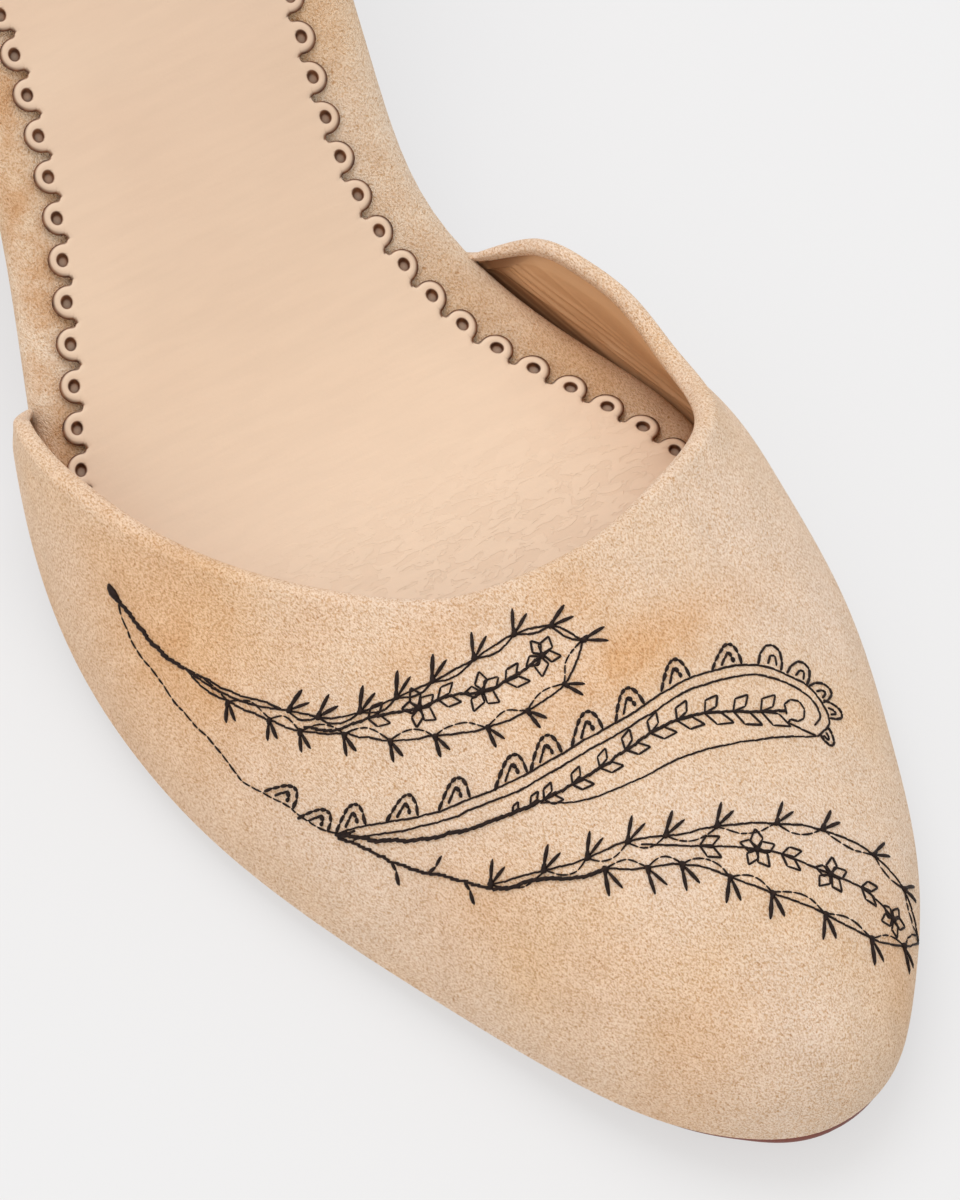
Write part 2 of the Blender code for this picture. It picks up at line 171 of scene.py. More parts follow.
TIP_ARCH = ((0.34, ((-1.9, 0.0), (-1.6, 1.3), (-0.9, 2.5), (0.0, 2.9), (0.8, 2.5), (1.05, 1.3), (0.9, 0.1))),
            (0.30, ((-0.7, 0.4), (-0.35, 1.5), (0.2, 1.7), (0.35, 0.5))))
BUD = ((FINE, ((0.0, -0.4), (0.1, 0.9), (1.1, 1.45), (2.3, 1.25), (2.7, 0.2), (2.2, -0.9), (1.2, -1.3),
               (0.3, -1.0), (-0.2, -1.5))),)
NEEDLE_STRAY = 0.22   # the share of a stitch by which a needle hole may lie off its place
STITCH_SWAY = 0.055   # and how far to the side of the line it tends to lie

RIM = 2.9                     # the folded suede edge of the topline
VAMP_RIM_TIPS = (1.9, 1.8)    # the same at the two tips, where the topline runs down to the sole
COUNTER_RIM_TIPS = (1.8, 1.8)
TIP_ROUND = 0.016             # how much of the foot edge's length each tip takes to round off
TIP_THIN = (0.085, 0.20)      # and how much the fold takes at either tip to come to its full thickness
TIP_TUCK = 2.7                # how far the tips are lasted in beside the board
LINING_SHORT = 2              # stations, about 0.2 mm apart there, by which the lining stops short of each tip
LINING_ROWS = 88
# The lining's creases: height over its foot edge and depth.
CREASES = ((8.3, 0.14), (7.0, 0.26), (6.1, 0.34), (5.2, 0.36), (4.3, 0.34), (3.4, 0.30))

# Warmer places where the vamp's nap was stroked down, a row for each: x, y,
# half length, half width, turn in degrees and strength.
STROKED = (
    (-36.5, 7.0, 19.0, 8.0, 95.0, 0.75),
    (-25.0, -4.0, 7.0, 5.0, 20.0, 0.4),
    (-14.0, -13.5, 9.0, 4.0, 0.0, 0.45),
    (5.5, -25.3, 15.0, 3.6, 10.0, 1.0),
    (1.5, -17.5, 6.5, 4.0, 0.0, 0.5),
    (-22.2, -38.0, 7.0, 5.0, -40.0, 0.5),
    (-14.5, -53.5, 8.0, 5.5, -60.0, 0.35),
    (-10.5, -65.5, 8.5, 5.5, 0.0, 0.45),
    (16.0, -65.0, 8.0, 3.0, 70.0, 0.6),
)

# Lights: name, place from the middle of the foot and size in metres, watts and tint.
LIGHTS = (
    ("key", (0.06, 0.46, 1.18), 0.9, 6.6, "#f8f8ff"),
    ("fill", (-1.00, -0.45, 0.90), 1.0, 2.0, "#ffd09c"),
)
PAPER_HALF = 3.0      # half the side of the paper, in metres
PAPER_LOW = 0.1       # how far the paper lies under the sole, so that the two faces don't meet

CAMERA_DISTANCE = 1200.0
CAMERA_TURN = 30.0    # from straight ahead of the toe, towards the little toe
CAMERA_ELEVATION = 60.0
CAMERA_LENS = 316.3
SENSOR = 36.0

_low, _high = (np.array(corner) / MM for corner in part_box("top_piece"))
SHIFT = np.array([(_low[0] + _high[0]) / 2.0 - HEEL_X, _low[1] - HEEL_FOOT_FRONT, 0.0])


def to_frame(points):
    """The last's millimetres as metres in the row frame."""
    return (np.asarray(points, dtype=float) + SHIFT) * MM


# ---------------------------------------------------------------- arithmetic

def smoothstep(value):
    """0 below 0, 1 above 1 and a smooth rise between."""
    value = np.clip(value, 0.0, 1.0)
    return value * value * (3.0 - 2.0 * value)


def smoothstep_area(value):
    """The area under smoothstep from 0 to value."""
    inside = np.clip(value, 0.0, 1.0)
    return inside ** 3 - 0.5 * inside ** 4 + np.maximum(value - 1.0, 0.0)


def rise(y):
    """Height of the last's underside: flat tread, shank slope, heel seat and toe spring."""
    ramp = SHANK_SLOPE * RAMP_LENGTH * smoothstep_area((y - RAMP_START) / RAMP_LENGTH)
    ease = (SHANK_SLOPE - SEAT_SLOPE) * SEAT_LENGTH * smoothstep_area((y - SEAT_START) / SEAT_LENGTH)
    toe = TOE_SPRING * (np.maximum(SPRING_START - y, 0.0) / SPRING_LENGTH) ** 2
    return ramp - ease + toe


def spline(knots, values, at):
    """The natural cubic spline through the knots, read at the given places."""
    knots = np.asarray(knots, dtype=float)
    values = np.asarray(values, dtype=float)
    step = np.diff(knots)
    matrix = np.diag(np.concatenate([[1.0], 2.0 * (step[:-1] + step[1:]), [1.0]]))
    matrix += np.diag(np.concatenate([step[:-1], [0.0]]), -1) + np.diag(np.concatenate([[0.0], step[1:]]), 1)
    slope = np.diff(values) / step
    bend = np.linalg.solve(matrix, np.concatenate([[0.0], 6.0 * np.diff(slope), [0.0]]))
    at = np.asarray(at, dtype=float)
    i = np.clip(np.searchsorted(knots, at) - 1, 0, len(step) - 1)
    right = (at - knots[i]) / step[i]
    left = 1.0 - right
    curve = (left ** 3 - left) * bend[i] + (right ** 3 - right) * bend[i + 1]
    return left * values[i] + right * values[i + 1] + curve * step[i] ** 2 / 6.0


def unit(vectors):
    """Vectors scaled to length one."""
    return vectors / np.maximum(np.linalg.norm(vectors, axis=-1, keepdims=True), 1e-9)


def travelled(points):
    """How far along a line of points each one lies."""
    return np.concatenate([[0.0], np.cumsum(np.linalg.norm(np.diff(points, axis=0), axis=1))])


def read_along(at, length, table):
    """A table's columns read by linear steps at places along a length."""
    return np.stack([np.interp(at, length, column) for column in np.transpose(table)], axis=-1)


def wander(at, size, seed):
    """A smooth value from -1 to 1 that changes about once in `size`: three sines of unlike lengths."""
    turn = np.asarray(at, dtype=float) / size * 2.0 * np.pi
    shift = np.array([1.7, 4.1, 2.9]) * (seed + 1.0)
    return (np.sin(turn * 0.37 + shift[0]) + 0.7 * np.sin(turn * 0.83 + shift[1])
            + 0.5 * np.sin(turn * 1.61 + shift[2])) / 2.2


# ---------------------------------------------------------------- mesh making

def grid_faces(rows, columns, close_rows=False, close_columns=False):
    """Quads of a grid of points stored row by row, joined round where it closes."""
    i, j = np.meshgrid(np.arange(rows if close_rows else rows - 1),
                       np.arange(columns if close_columns else columns - 1), indexing="ij")
    down, across = (i + 1) % rows, (j + 1) % columns
    return np.stack([i * columns + j, i * columns + across, down * columns + across, down * columns + j],
                    axis=-1).reshape(-1, 4)


def tube_faces(rows, columns):
    """Faces of a closed tube: its section has a point for each row, and a flat cap closes either end."""
    caps = np.stack([np.arange(rows) * columns, np.arange(rows) * columns + columns - 1])
    return [*grid_faces(rows, columns, close_rows=True).tolist(), *caps.tolist()]


def mesh_piece(name, points, faces, finishes, uv=None, merge=0.0, closed=True, sharp=40.0, tones=None):
    """A piece from points in the last's millimetres and faces of any size.

    A closed piece is turned the right way out by the sign of its volume. uv is
    a pair for each point, and tones are named values for each point.
    """
    mesh = bpy.data.meshes.new(name)
    mesh.from_pydata(to_frame(points).tolist(), [], [list(face) for face in faces])
    if uv is not None:
        corner = np.zeros(len(mesh.loops), dtype=np.int32)
        mesh.loops.foreach_get("vertex_index", corner)
        layer = mesh.uv_layers.new(name="along_and_across")
        layer.data.foreach_set("uv", np.asarray(uv, dtype=np.float32)[corner].ravel())
    for tone, values in (tones or {}).items():
        mesh.attributes.new(tone, "FLOAT", "POINT").data.foreach_set("value", np.asarray(values, dtype=np.float32))
    work = bmesh.new()
    work.from_mesh(mesh)
    if merge:
        bmesh.ops.remove_doubles(work, verts=work.verts, dist=merge * MM)
    if closed:
        bmesh.ops.recalc_face_normals(work, faces=work.faces)
        if work.calc_volume(signed=True) < 0.0:
            bmesh.ops.reverse_faces(work, faces=work.faces)
    work.to_mesh(mesh)
    work.free()
    mesh.shade_smooth()
    mesh.set_sharp_from_angle(angle=np.radians(sharp))
    for finish in finishes:
        mesh.materials.append(finish)
    made = bpy.data.objects.new(name, mesh)
    bpy.context.scene.collection.objects.link(made)
    return made


def wear(piece, slot, *nodes):
    """The piece rides on the shoe and stands for CAD nodes, whose solids it hides; `slot` is not used."""
    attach(piece, "root")
    if nodes:
        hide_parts(*nodes)
    return piece


# ---------------------------------------------------------------- finishes

def colour(hex_value):
    """An sRGB hex value as a linear RGBA colour."""
    parts = np.array([int(hex_value[k:k + 2], 16) for k in (1, 3, 5)]) / 255.0
    linear = np.where(parts <= 0.04045, parts / 12.92, ((parts + 0.055) / 1.055) ** 2.4)
    return (*linear.tolist(), 1.0)


def output(source):
    """A socket itself, or a node's first output in use."""
    if isinstance(source, bpy.types.NodeSocket):
        return source
    return next(socket for socket in source.outputs if socket.enabled)


def add(tree, kind, values=(), links=(), stops=(), **settings):
    """A node with its settings, its sockets' fixed values, what is linked into it, and a ramp's stops."""
    node = tree.nodes.new(kind)
    for name, value in settings.items():
        setattr(node, name, value)
    for socket, value in dict(values).items():
        node.inputs[socket].default_value = value
    for socket, source in dict(links).items():
        tree.links.new(output(source), node.inputs[socket])
    for _ in stops[2:]:
        node.color_ramp.elements.new(0.5)
    for element, (place, tint) in zip(node.color_ramp.elements if stops else (), stops):
        element.position = place
        element.color = colour(tint)
    return node


def new_finish(name, **values):
    """A material with the Principled shader's own values, and its tree."""
    made = bpy.data.materials.new(name)
    made.use_nodes = True
    for socket, value in values.items():
        made.node_tree.nodes["Principled BSDF"].inputs[socket.replace("_", " ")].default_value = value
    return made, made.node_tree


def fed(made, **sources):
    """The material, with what feeds its shader's sockets linked in."""
    shader = made.node_tree.nodes["Principled BSDF"]
    for socket, source in sources.items():
        made.node_tree.links.new(output(source), shader.inputs[socket.replace("_", " ")])
    return made


def every(millimetres):
    """A noise scale whose features are about this far apart, on coordinates in metres."""
    return 1.0 / (millimetres * MM)


# A Mix node's settings: sockets 6 and 7 are its two colours and 0 is how much of the second it takes.
BLEND = {"data_type": "RGBA"}
MULTIPLY = {"data_type": "RGBA", "blend_type": "MULTIPLY"}


def calf_suede(name, light, middle, warm, grain, mark, stroke_and_shade_tint, least, most):
    """Sueded calf: a brushed flesh side, so a short nap with no gloss.

    The eye sees a fine salt-and-pepper of nap tips with shadows between them,
    broad soft clouds where the nap was stroked either way, a few pinpricks,
    and a pale bloom where it is seen edge on. Where the attribute `mark` is
    set it takes on the given tint, unevenly, from `least` to `most` of it: the
    stroked nap on the vamp, and painted shade on the board.
    The real nap is about 0.1 mm long; it is drawn as fibres 0.2 mm apart and
    lying one way, so that it shows.
    """
    made, tree = new_finish(name, Roughness=0.93, Specular_IOR_Level=0.18, Sheen_Weight=0.22,
                            Sheen_Roughness=0.42, Sheen_Tint=colour("#f7e6d4"))
    place = add(tree, "ShaderNodeTexCoord").outputs["Object"]
    cloud = add(tree, "ShaderNodeTexNoise", {"Scale": every(21.0), "Detail": 2.0, "Roughness": 0.45}, {"Vector": place})
    hue = add(tree, "ShaderNodeValToRGB", links={"Fac": cloud}, stops=((0.30, light), (0.52, middle), (0.72, warm)))
    stroke = add(tree, "ShaderNodeTexNoise", {"Scale": every(4.2), "Detail": 3.0, "Roughness": 0.55}, {"Vector": place})
    patch = add(tree, "ShaderNodeMapRange", {"From Min": 0.30, "From Max": 0.70, "To Min": 1.04, "To Max": 0.97},
                {"Value": stroke})
    brushed = add(tree, "ShaderNodeMapping", {"Scale": (1.0, 0.6, 1.0), "Rotation": (0.0, 0.0, np.radians(35.0))},
                  {"Vector": place})
    nap = add(tree, "ShaderNodeTexNoise", {"Scale": every(0.20), "Detail": 3.0, "Roughness": 0.6}, {"Vector": brushed})
    tips = add(tree, "ShaderNodeValToRGB", links={"Fac": nap}, stops=((0.38, grain), (0.57, "#ffffff")))
    pits = add(tree, "ShaderNodeTexNoise", {"Scale": every(0.40), "Detail": 1.0}, {"Vector": place})
    prick = add(tree, "ShaderNodeValToRGB", links={"Fac": pits}, stops=((0.27, "#e6d5c1"), (0.39, "#ffffff")))
    both = add(tree, "ShaderNodeMix", {0: 1.0}, {6: prick, 7: patch}, **MULTIPLY)
    shade = add(tree, "ShaderNodeMix", {0: 1.0}, {6: hue, 7: both}, **MULTIPLY)
    base = add(tree, "ShaderNodeMix", {0: 1.0}, {6: shade, 7: tips}, **MULTIPLY)
    marked = add(tree, "ShaderNodeAttribute", attribute_name=mark)
    uneven = add(tree, "ShaderNodeMapRange", {"From Min": 0.35, "From Max": 0.62, "To Min": least, "To Max": most},
                 {"Value": stroke})
    amount = add(tree, "ShaderNodeMath", links={0: marked.outputs["Fac"], 1: uneven}, operation="MULTIPLY")
    # the marked tint: stroked nap on the vamp, painted shade on the board
    base = add(tree, "ShaderNodeMix", {7: colour(stroke_and_shade_tint)}, {0: amount, 6: base}, **MULTIPLY)
    low = add(tree, "ShaderNodeBump", {"Distance": 0.10 * MM}, {"Height": stroke})
    high = add(tree, "ShaderNodeBump", {"Distance": 0.42 * MM}, {"Height": nap, "Normal": low})
    return fed(made, Base_Color=base, Normal=high)


def sock_leather():
    """Glazed kid sock leather: even and smooth, with a soft low gloss.

    The eye sees a slow cloud of dye, made paler over the ball of the foot by
    painted light, faint stretch lines across the foot about 1.5 mm apart that
    deepen to fine flex creases by the throat, with painted shade along the
    creases, pores of about 0.4 mm, and the burnished brown line that the hot
    punch leaves round every lobe and hole. An attribute marks that line, and
    with it painted shade: the line's widening on the scallops' toe and outer
    sides and the dark floor of each hole.
    """
    made, tree = new_finish("glazed_kid_sock", IOR=1.45, Specular_IOR_Level=0.32)
    place = add(tree, "ShaderNodeTexCoord").outputs["Object"]
    cloud = add(tree, "ShaderNodeTexNoise", {"Scale": every(34.0), "Detail": 2.0, "Roughness": 0.5}, {"Vector": place})
    dye = add(tree, "ShaderNodeValToRGB", links={"Fac": cloud},
              stops=((0.32, "#dcc2a8"), (0.52, "#d9bda3"), (0.70, "#d6ba9f")))
    stretched = add(tree, "ShaderNodeMapping", {"Scale": (0.16, 1.0, 1.0), "Rotation": (0.0, 0.0, np.radians(-8.0))},
                    {"Vector": place})
    crease = add(tree, "ShaderNodeTexNoise", {"Scale": every(1.5), "Detail": 3.0, "Roughness": 0.6},
                 {"Vector": stretched})
    line = add(tree, "ShaderNodeMapRange", {"From Min": 0.36, "From Max": 0.64, "To Min": 0.982, "To Max": 1.012},
               {"Value": crease})
    far = add(tree, "ShaderNodeSeparateXYZ", links={"Vector": place}).outputs["Y"]
    # painted light: the sock is paler over the ball, where it lies flat, than up the sloping shank
    ball = add(tree, "ShaderNodeMapRange",
               {"From Min": 75.0 * MM + SHIFT[1] * MM, "From Max": 5.0 * MM + SHIFT[1] * MM},
               {"Value": far}, interpolation_type="SMOOTHSTEP")
    paler = add(tree, "ShaderNodeMix", {7: colour("#ead0b4")}, {0: ball, 6: dye}, **BLEND)
    toned = add(tree, "ShaderNodeMix", {0: 1.0}, {6: paler, 7: line}, **MULTIPLY)
    short = add(tree, "ShaderNodeMapping", {"Scale": (0.42, 1.0, 1.0), "Rotation": (0.0, 0.0, np.radians(-14.0))},
                {"Vector": place})
    flex = add(tree, "ShaderNodeTexNoise", {"Scale": every(1.3), "Detail": 3.0, "Roughness": 0.55, "Distortion": 0.8},
               {"Vector": short})
    ridge = add(tree, "ShaderNodeMapRange", {"From Min": 0.47, "From Max": 0.50, "To Min": 1.0, "To Max": 0.0},
                {"Value": flex}, interpolation_type="SMOOTHSTEP")
    throat = add(tree, "ShaderNodeMapRange",
                 {"From Min": 24.0 * MM + SHIFT[1] * MM, "From Max": 2.0 * MM + SHIFT[1] * MM},
                 {"Value": far}, interpolation_type="SMOOTHSTEP")
    flex_crease = add(tree, "ShaderNodeMath", links={0: ridge, 1: throat}, operation="MULTIPLY")
    faint = add(tree, "ShaderNodeMath", {1: 0.09}, {0: flex_crease}, operation="MULTIPLY")
    # painted shade: the flex creases by the throat are darkened along their lines
    toned = add(tree, "ShaderNodeMix", {7: colour("#b98f6c")}, {0: faint, 6: toned}, **BLEND)
    singe = add(tree, "ShaderNodeTexNoise", {"Scale": every(0.9), "Detail": 2.0}, {"Vector": place})
    brown = add(tree, "ShaderNodeValToRGB", links={"Fac": singe}, stops=((0.34, "#4a2a17"), (0.70, "#7b4e30")))
    # the burnished line round every cut edge, together with painted shade where it widens and in the holes
    mark = add(tree, "ShaderNodeAttribute", attribute_name="burn_and_painted_shade")
    base = add(tree, "ShaderNodeMix", links={0: mark.outputs["Fac"], 6: toned, 7: brown}, **BLEND)
    pores = add(tree, "ShaderNodeTexNoise", {"Scale": every(0.42), "Detail": 2.0, "Roughness": 0.6}, {"Vector": place})
    gloss = add(tree, "ShaderNodeMapRange", {"To Min": 0.46, "To Max": 0.62}, {"Value": pores})
    low = add(tree, "ShaderNodeBump", {"Distance": 0.05 * MM}, {"Height": crease})
    bend = add(tree, "ShaderNodeBump", {"Distance": 0.035 * MM}, {"Height": flex_crease, "Normal": low}, invert=True)
    high = add(tree, "ShaderNodeBump", {"Distance": 0.012 * MM}, {"Height": pores, "Normal": bend})
    return fed(made, Base_Color=base, Roughness=gloss, Normal=high)


def cut_edge():
    """The sock's cut edge: burnished dark brown where the hot punch has sealed fibres about 0.8 mm apart."""
    made, tree = new_finish("burnished_leather_edge", Roughness=0.7)
    place = add(tree, "ShaderNodeTexCoord").outputs["Object"]
    singe = add(tree, "ShaderNodeTexNoise", {"Scale": every(0.8), "Detail": 2.0, "Roughness": 0.6}, {"Vector": place})
    base = add(tree, "ShaderNodeValToRGB", links={"Fac": singe}, stops=((0.30, "#3a2012"), (0.75, "#6f452a")))
    fibre = add(tree, "ShaderNodeBump", {"Distance": 0.05 * MM}, {"Height": singe})
    return fed(made, Base_Color=base, Normal=fibre)


def kid_lining():
    """Kid lining in tan: smooth, a little waxy, with faint drawn lines along the foot.

    Its lines are about 1.6 mm apart across and 40 mm long, on the piece's own
    coordinates: u along the foot and v down from the topline, in millimetres.
    An attribute marks the crack beside the board, where the dark brown is painted shade.
    """
    made, tree = new_finish("kid_lining_tan", IOR=1.45, Specular_IOR_Level=0.35)
    drawn = add(tree, "ShaderNodeUVMap", uv_map="along_and_across")
    stretched = add(tree, "ShaderNodeMapping", {"Scale": (0.025, 0.62, 1.0)}, {"Vector": drawn})
    fold = add(tree, "ShaderNodeTexNoise", {"Scale": 1.0, "Detail": 3.0, "Roughness": 0.5}, {"Vector": stretched})
    dye = add(tree, "ShaderNodeValToRGB", links={"Fac": fold},
              stops=((0.30, "#d0a57c"), (0.50, "#d4a97f"), (0.72, "#d8ad84")))
    # painted shade: the lining is mixed towards dark brown in the crack beside the board
    mark = add(tree, "ShaderNodeAttribute", attribute_name="painted_crack_shade")
    amount = add(tree, "ShaderNodeMath", {1: 0.85}, {0: mark.outputs["Fac"]}, operation="MULTIPLY")
    base = add(tree, "ShaderNodeMix", {7: colour("#7a5234")}, {0: amount, 6: dye}, **BLEND)
    place = add(tree, "ShaderNodeTexCoord").outputs["Object"]
    pores = add(tree, "ShaderNodeTexNoise", {"Scale": every(0.35), "Detail": 2.0, "Roughness": 0.6}, {"Vector": place})
    gloss = add(tree, "ShaderNodeMapRange", {"To Min": 0.42, "To Max": 0.60}, {"Value": pores})
    low = add(tree, "ShaderNodeBump", {"Distance": 0.06 * MM}, {"Height": fold})
    high = add(tree, "ShaderNodeBump", {"Distance": 0.015 * MM}, {"Height": pores, "Normal": low})
    return fed(made, Base_Color=base, Roughness=gloss, Normal=high)


def sole_leather():
    """Vegetable-tanned sole bend, dyed brick brown on its edge and waxed: cloudy, with short fibres of 0.5 mm."""
    made, tree = new_finish("veg_tanned_sole_leather", IOR=1.45)
    place = add(tree, "ShaderNodeTexCoord").outputs["Object"]
    cloud = add(tree, "ShaderNodeTexNoise", {"Scale": every(14.0), "Detail": 4.0, "Roughness": 0.55}, {"Vector": place})
    dye = add(tree, "ShaderNodeValToRGB", links={"Fac": cloud},
              stops=((0.30, "#652616"), (0.52, "#7a341e"), (0.72, "#8e442d")))
    fibre = add(tree, "ShaderNodeTexNoise", {"Scale": every(0.5), "Detail": 3.0, "Roughness": 0.6}, {"Vector": place})
    tone = add(tree, "ShaderNodeMapRange", {"From Min": 0.3, "From Max": 0.7, "To Min": 0.86, "To Max": 1.06},
               {"Value": fibre})
    base = add(tree, "ShaderNodeMix", {0: 1.0}, {6: dye, 7: tone}, **MULTIPLY)
    gloss = add(tree, "ShaderNodeMapRange", {"To Min": 0.38, "To Max": 0.58}, {"Value": fibre})
    grain = add(tree, "ShaderNodeBump", {"Distance": 0.03 * MM}, {"Height": fibre})
    return fed(made, Base_Color=base, Roughness=gloss, Normal=grain)


def top_piece_rubber():
    """Nitrile top-piece rubber: matt, near black-brown, with a dusty bloom over a grit of 0.6 mm."""
    made, tree = new_finish("nitrile_top_piece_rubber", Roughness=0.72)
    place = add(tree, "ShaderNodeTexCoord").outputs["Object"]
    grit = add(tree, "ShaderNodeTexNoise", {"Scale": every(0.6), "Detail": 3.0, "Roughness": 0.6}, {"Vector": place})
    base = add(tree, "ShaderNodeValToRGB", links={"Fac": grit},
               stops=((0.30, "#2b2420"), (0.60, "#3a312b"), (0.80, "#4b4038")))
    grain = add(tree, "ShaderNodeBump", {"Distance": 0.04 * MM}, {"Height": grit})
    return fed(made, Base_Color=base, Normal=grain)


def embroidery_thread():
    """Twisted rayon embroidery thread in near-black brown: a soft lustre, and ply twists about 0.4 mm apart."""
    made, tree = new_finish("rayon_embroidery_thread", Roughness=0.65, Specular_IOR_Level=0.22)
    place = add(tree, "ShaderNodeTexCoord").outputs["Object"]
    twist = add(tree, "ShaderNodeTexNoise", {"Scale": every(0.4), "Detail": 2.0, "Roughness": 0.5}, {"Vector": place})
    base = add(tree, "ShaderNodeValToRGB", links={"Fac": twist},
               stops=((0.30, "#170c09"), (0.58, "#24150f"), (0.80, "#3d2a21")))
    ply = add(tree, "ShaderNodeBump", {"Distance": 0.05 * MM}, {"Height": twist})
    return fed(made, Base_Color=base, Normal=ply)


def studio_paper():
    """Seamless white paper lit from beneath, so that shadows on it stay faint."""
    return new_finish("seamless_paper", Base_Color=(0.235, 0.235, 0.235, 1.0), Roughness=1.0,
                      Specular_IOR_Level=0.0, Emission_Color=(1.0, 1.0, 1.0, 1.0), Emission_Strength=0.60)[0]


# ---------------------------------------------------------------- the last

def turn_of(y):
    """The angle that runs from 0 at the toe tip to pi at the heel's back."""
    return np.arccos(np.clip(1.0 - 2.0 * (np.asarray(y) - TOE_Y) / (HEEL_Y - TOE_Y), -1.0, 1.0))


def y_of(turn):
    """The place along the foot at an angle from toe to heel."""
    return TOE_Y + (HEEL_Y - TOE_Y) * (1.0 - np.cos(turn)) / 2.0


def board_side(turn, side):
    """Points of one edge of the board and the outward normals there, in plan."""
    knots = np.concatenate([[0.0], turn_of(BOARD["y"]), [np.pi]])
    edge = np.concatenate([[TOE_X], BOARD[side], [HEEL_X]])

    def place(angle):
        """Points of the edge at angles from toe to heel."""
        return np.stack([spline(knots, edge, angle), y_of(angle)], axis=-1)

    small = 1e-3
    along = unit(place(np.clip(turn + small, 0.0, np.pi)) - place(np.clip(turn - small, 0.0, np.pi)))
    hand = 1.0 if side == "medial" else -1.0
    return place(turn), np.stack([along[..., 1], -along[..., 0]], axis=-1) * hand


def outline(turns, out):
    """The board's outline moved out: lateral from heel to toe, then medial back."""
    halves = []
    for side, order in (("lateral", turns[::-1]), ("medial", turns)):
        place, outward = board_side(order, side)
        distance = out(place[:, 1], side) if callable(out) else np.full(len(order), float(out))
        halves.append(place + outward * distance[:, None])
    return np.concatenate(halves)


def raised(plan, height):
    """Plan points at a height above the last's underside."""
    return np.concatenate([plan, (rise(plan[..., 1]) + height)[..., None]], axis=-1)


def ladder_faces(rings, pairs):
    """Faces of a closed body of rings whose points pair off from their two ends, with its two end strips."""
    count = 2 * pairs
    body = grid_faces(rings, count, close_columns=True)
    i = np.arange(pairs - 1)
    strip = np.stack([i, i + 1, count - 2 - i, count - 1 - i], axis=1)
    return [*body.tolist(), *strip.tolist(), *(strip[:, ::-1] + (rings - 1) * count).tolist()]


# ---------------------------------------------------------------- the uppers

def stations(count):
    """Places from 0 to 1 along an upper, four times closer together at its two tips than on average."""
    t = np.linspace(0.0, 1.0, count)
    return t - 0.75 * np.sin(2.0 * np.pi * t) / (2.0 * np.pi)


def foot_edge(tips, round_the_toe, count):
    """The upper's foot edge in plan at its stations, with outward normals."""
    dense = 400
    end = 0.0 if round_the_toe else np.pi
    first = board_side(np.linspace(turn_of(tips[0]), end, dense), "lateral")
    second = board_side(np.linspace(end, turn_of(tips[1]), dense)[1:], "medial")
    place = np.concatenate([first[0], second[0]])
    outward = np.concatenate([first[1], second[1]])
    outward[dense - 1] = (0.0, -1.0 if round_the_toe else 1.0)
    place = place + outward * (UPPER_CLEAR + WALL)
    length = travelled(place)
    even = stations(count) * length[-1]
    return read_along(even, length, place), unit(read_along(even, length, outward))


def tip_round(count):
    """1 along an upper, falling off to 0 at its two tips along a parabola."""
    at = stations(count)
    left = np.clip(1.0 - np.minimum(at, 1.0 - at) / TIP_ROUND, 0.0, 1.0)
    return 1.0 - left * left


def upper_surface(ribs, tips, round_the_toe, count, steps, rim):
    """The upper's outer face as a grid of ribs, top row first, with its normals.

    Each rib is a cubic Bezier curve: its foot stands on the sole's edge, its
    first handle goes up by `wall` and out by `flare`, and its last handle
    leaves the topline outwards by `crown` and down by `drop`. The top is drawn
    back by part of the rim's thickness, to leave room for the fold.
    """
    at = stations(count)
    foot, outward = foot_edge(tips, round_the_toe, count)
    table = np.array(ribs)
    read = {name: spline(table[:, 0], table[:, k], at) for k, name in enumerate(RIB_COLUMNS) if k}
    out = np.concatenate([outward, np.zeros((count, 1))], axis=1)
    up = np.array([0.0, 0.0, 1.0])
    tucked = outward * (TIP_TUCK * (1.0 - tip_round(count)))[:, None]
    low = raised(foot - 0.7 * tucked, SOLE_THICK + UPPER_CLEAR)
    high = raised(np.stack([read["x"], read["y"]], axis=1) - tucked, SOCK_TOP + read["high"])
    fall = (low - high) * (1.0, 1.0, 0.0)
    reach = np.linalg.norm(fall, axis=1, keepdims=True)
    fall = np.where(reach > 1.0, fall / np.maximum(reach, 1e-6), out)
    second = low + out * read["flare"][:, None] + up * read["wall"][:, None]
    third = high + fall * read["crown"][:, None] - up * read["drop"][:, None]
    drawn_back = unit(high - third) * (0.45 * rim)[:, None]
    high, third = high - drawn_back, third - drawn_back
    v = np.linspace(1.0, 0.0, steps)[:, None, None]
    w = 1.0 - v
    face = w ** 3 * low + 3.0 * w * w * v * second + 3.0 * w * v * v * third + v ** 3 * high
    normal = unit(np.cross(np.gradient(face, axis=1), np.gradient(face, axis=0)))
    centre = face.mean(axis=(0, 1)) * (1.0, 1.0, 0.0)
    if np.sum(normal * (face - centre)) < 0.0:
        normal = -normal
    return face, normal


def walk(lines, reach, *others):
    """Points, and other values, at given distances down each line of a grid, by linear steps."""
    gone = np.concatenate([np.zeros((1, lines.shape[1])),
                           np.cumsum(np.linalg.norm(np.diff(lines, axis=0), axis=2), axis=0)])
    reach = np.minimum(reach, gone[-1] - 1e-4)
    index = (gone[None] <= reach[:, None]).sum(axis=1) - 1
    index = np.clip(index, 0, len(lines) - 2)
    start = np.take_along_axis(gone, index, axis=0)
    share = ((reach - start) / np.maximum(np.take_along_axis(gone, index + 1, axis=0) - start, 1e-9))[..., None]
    found = []
    for grid in (lines, *others):
        first = np.take_along_axis(grid, index[..., None], axis=0)
        second = np.take_along_axis(grid, index[..., None] + 1, axis=0)
        found.append(first * (1.0 - share) + second * share)
    return found


def stroked(plan):
    """How far the vamp's nap is stroked down at plan points: a soft oval for each row of STROKED."""
    shade = np.zeros(plan.shape[:-1])
    for x, y, along, across, turn, strength in STROKED:
        off, angle = plan - (x, y), np.radians(turn)
        u = off[..., 0] * np.cos(angle) + off[..., 1] * np.sin(angle)
        v = off[..., 1] * np.cos(angle) - off[..., 0] * np.sin(angle)
        shade = np.maximum(shade, strength * np.exp(-(u / along) ** 2 - (v / across) ** 2))
    return shade


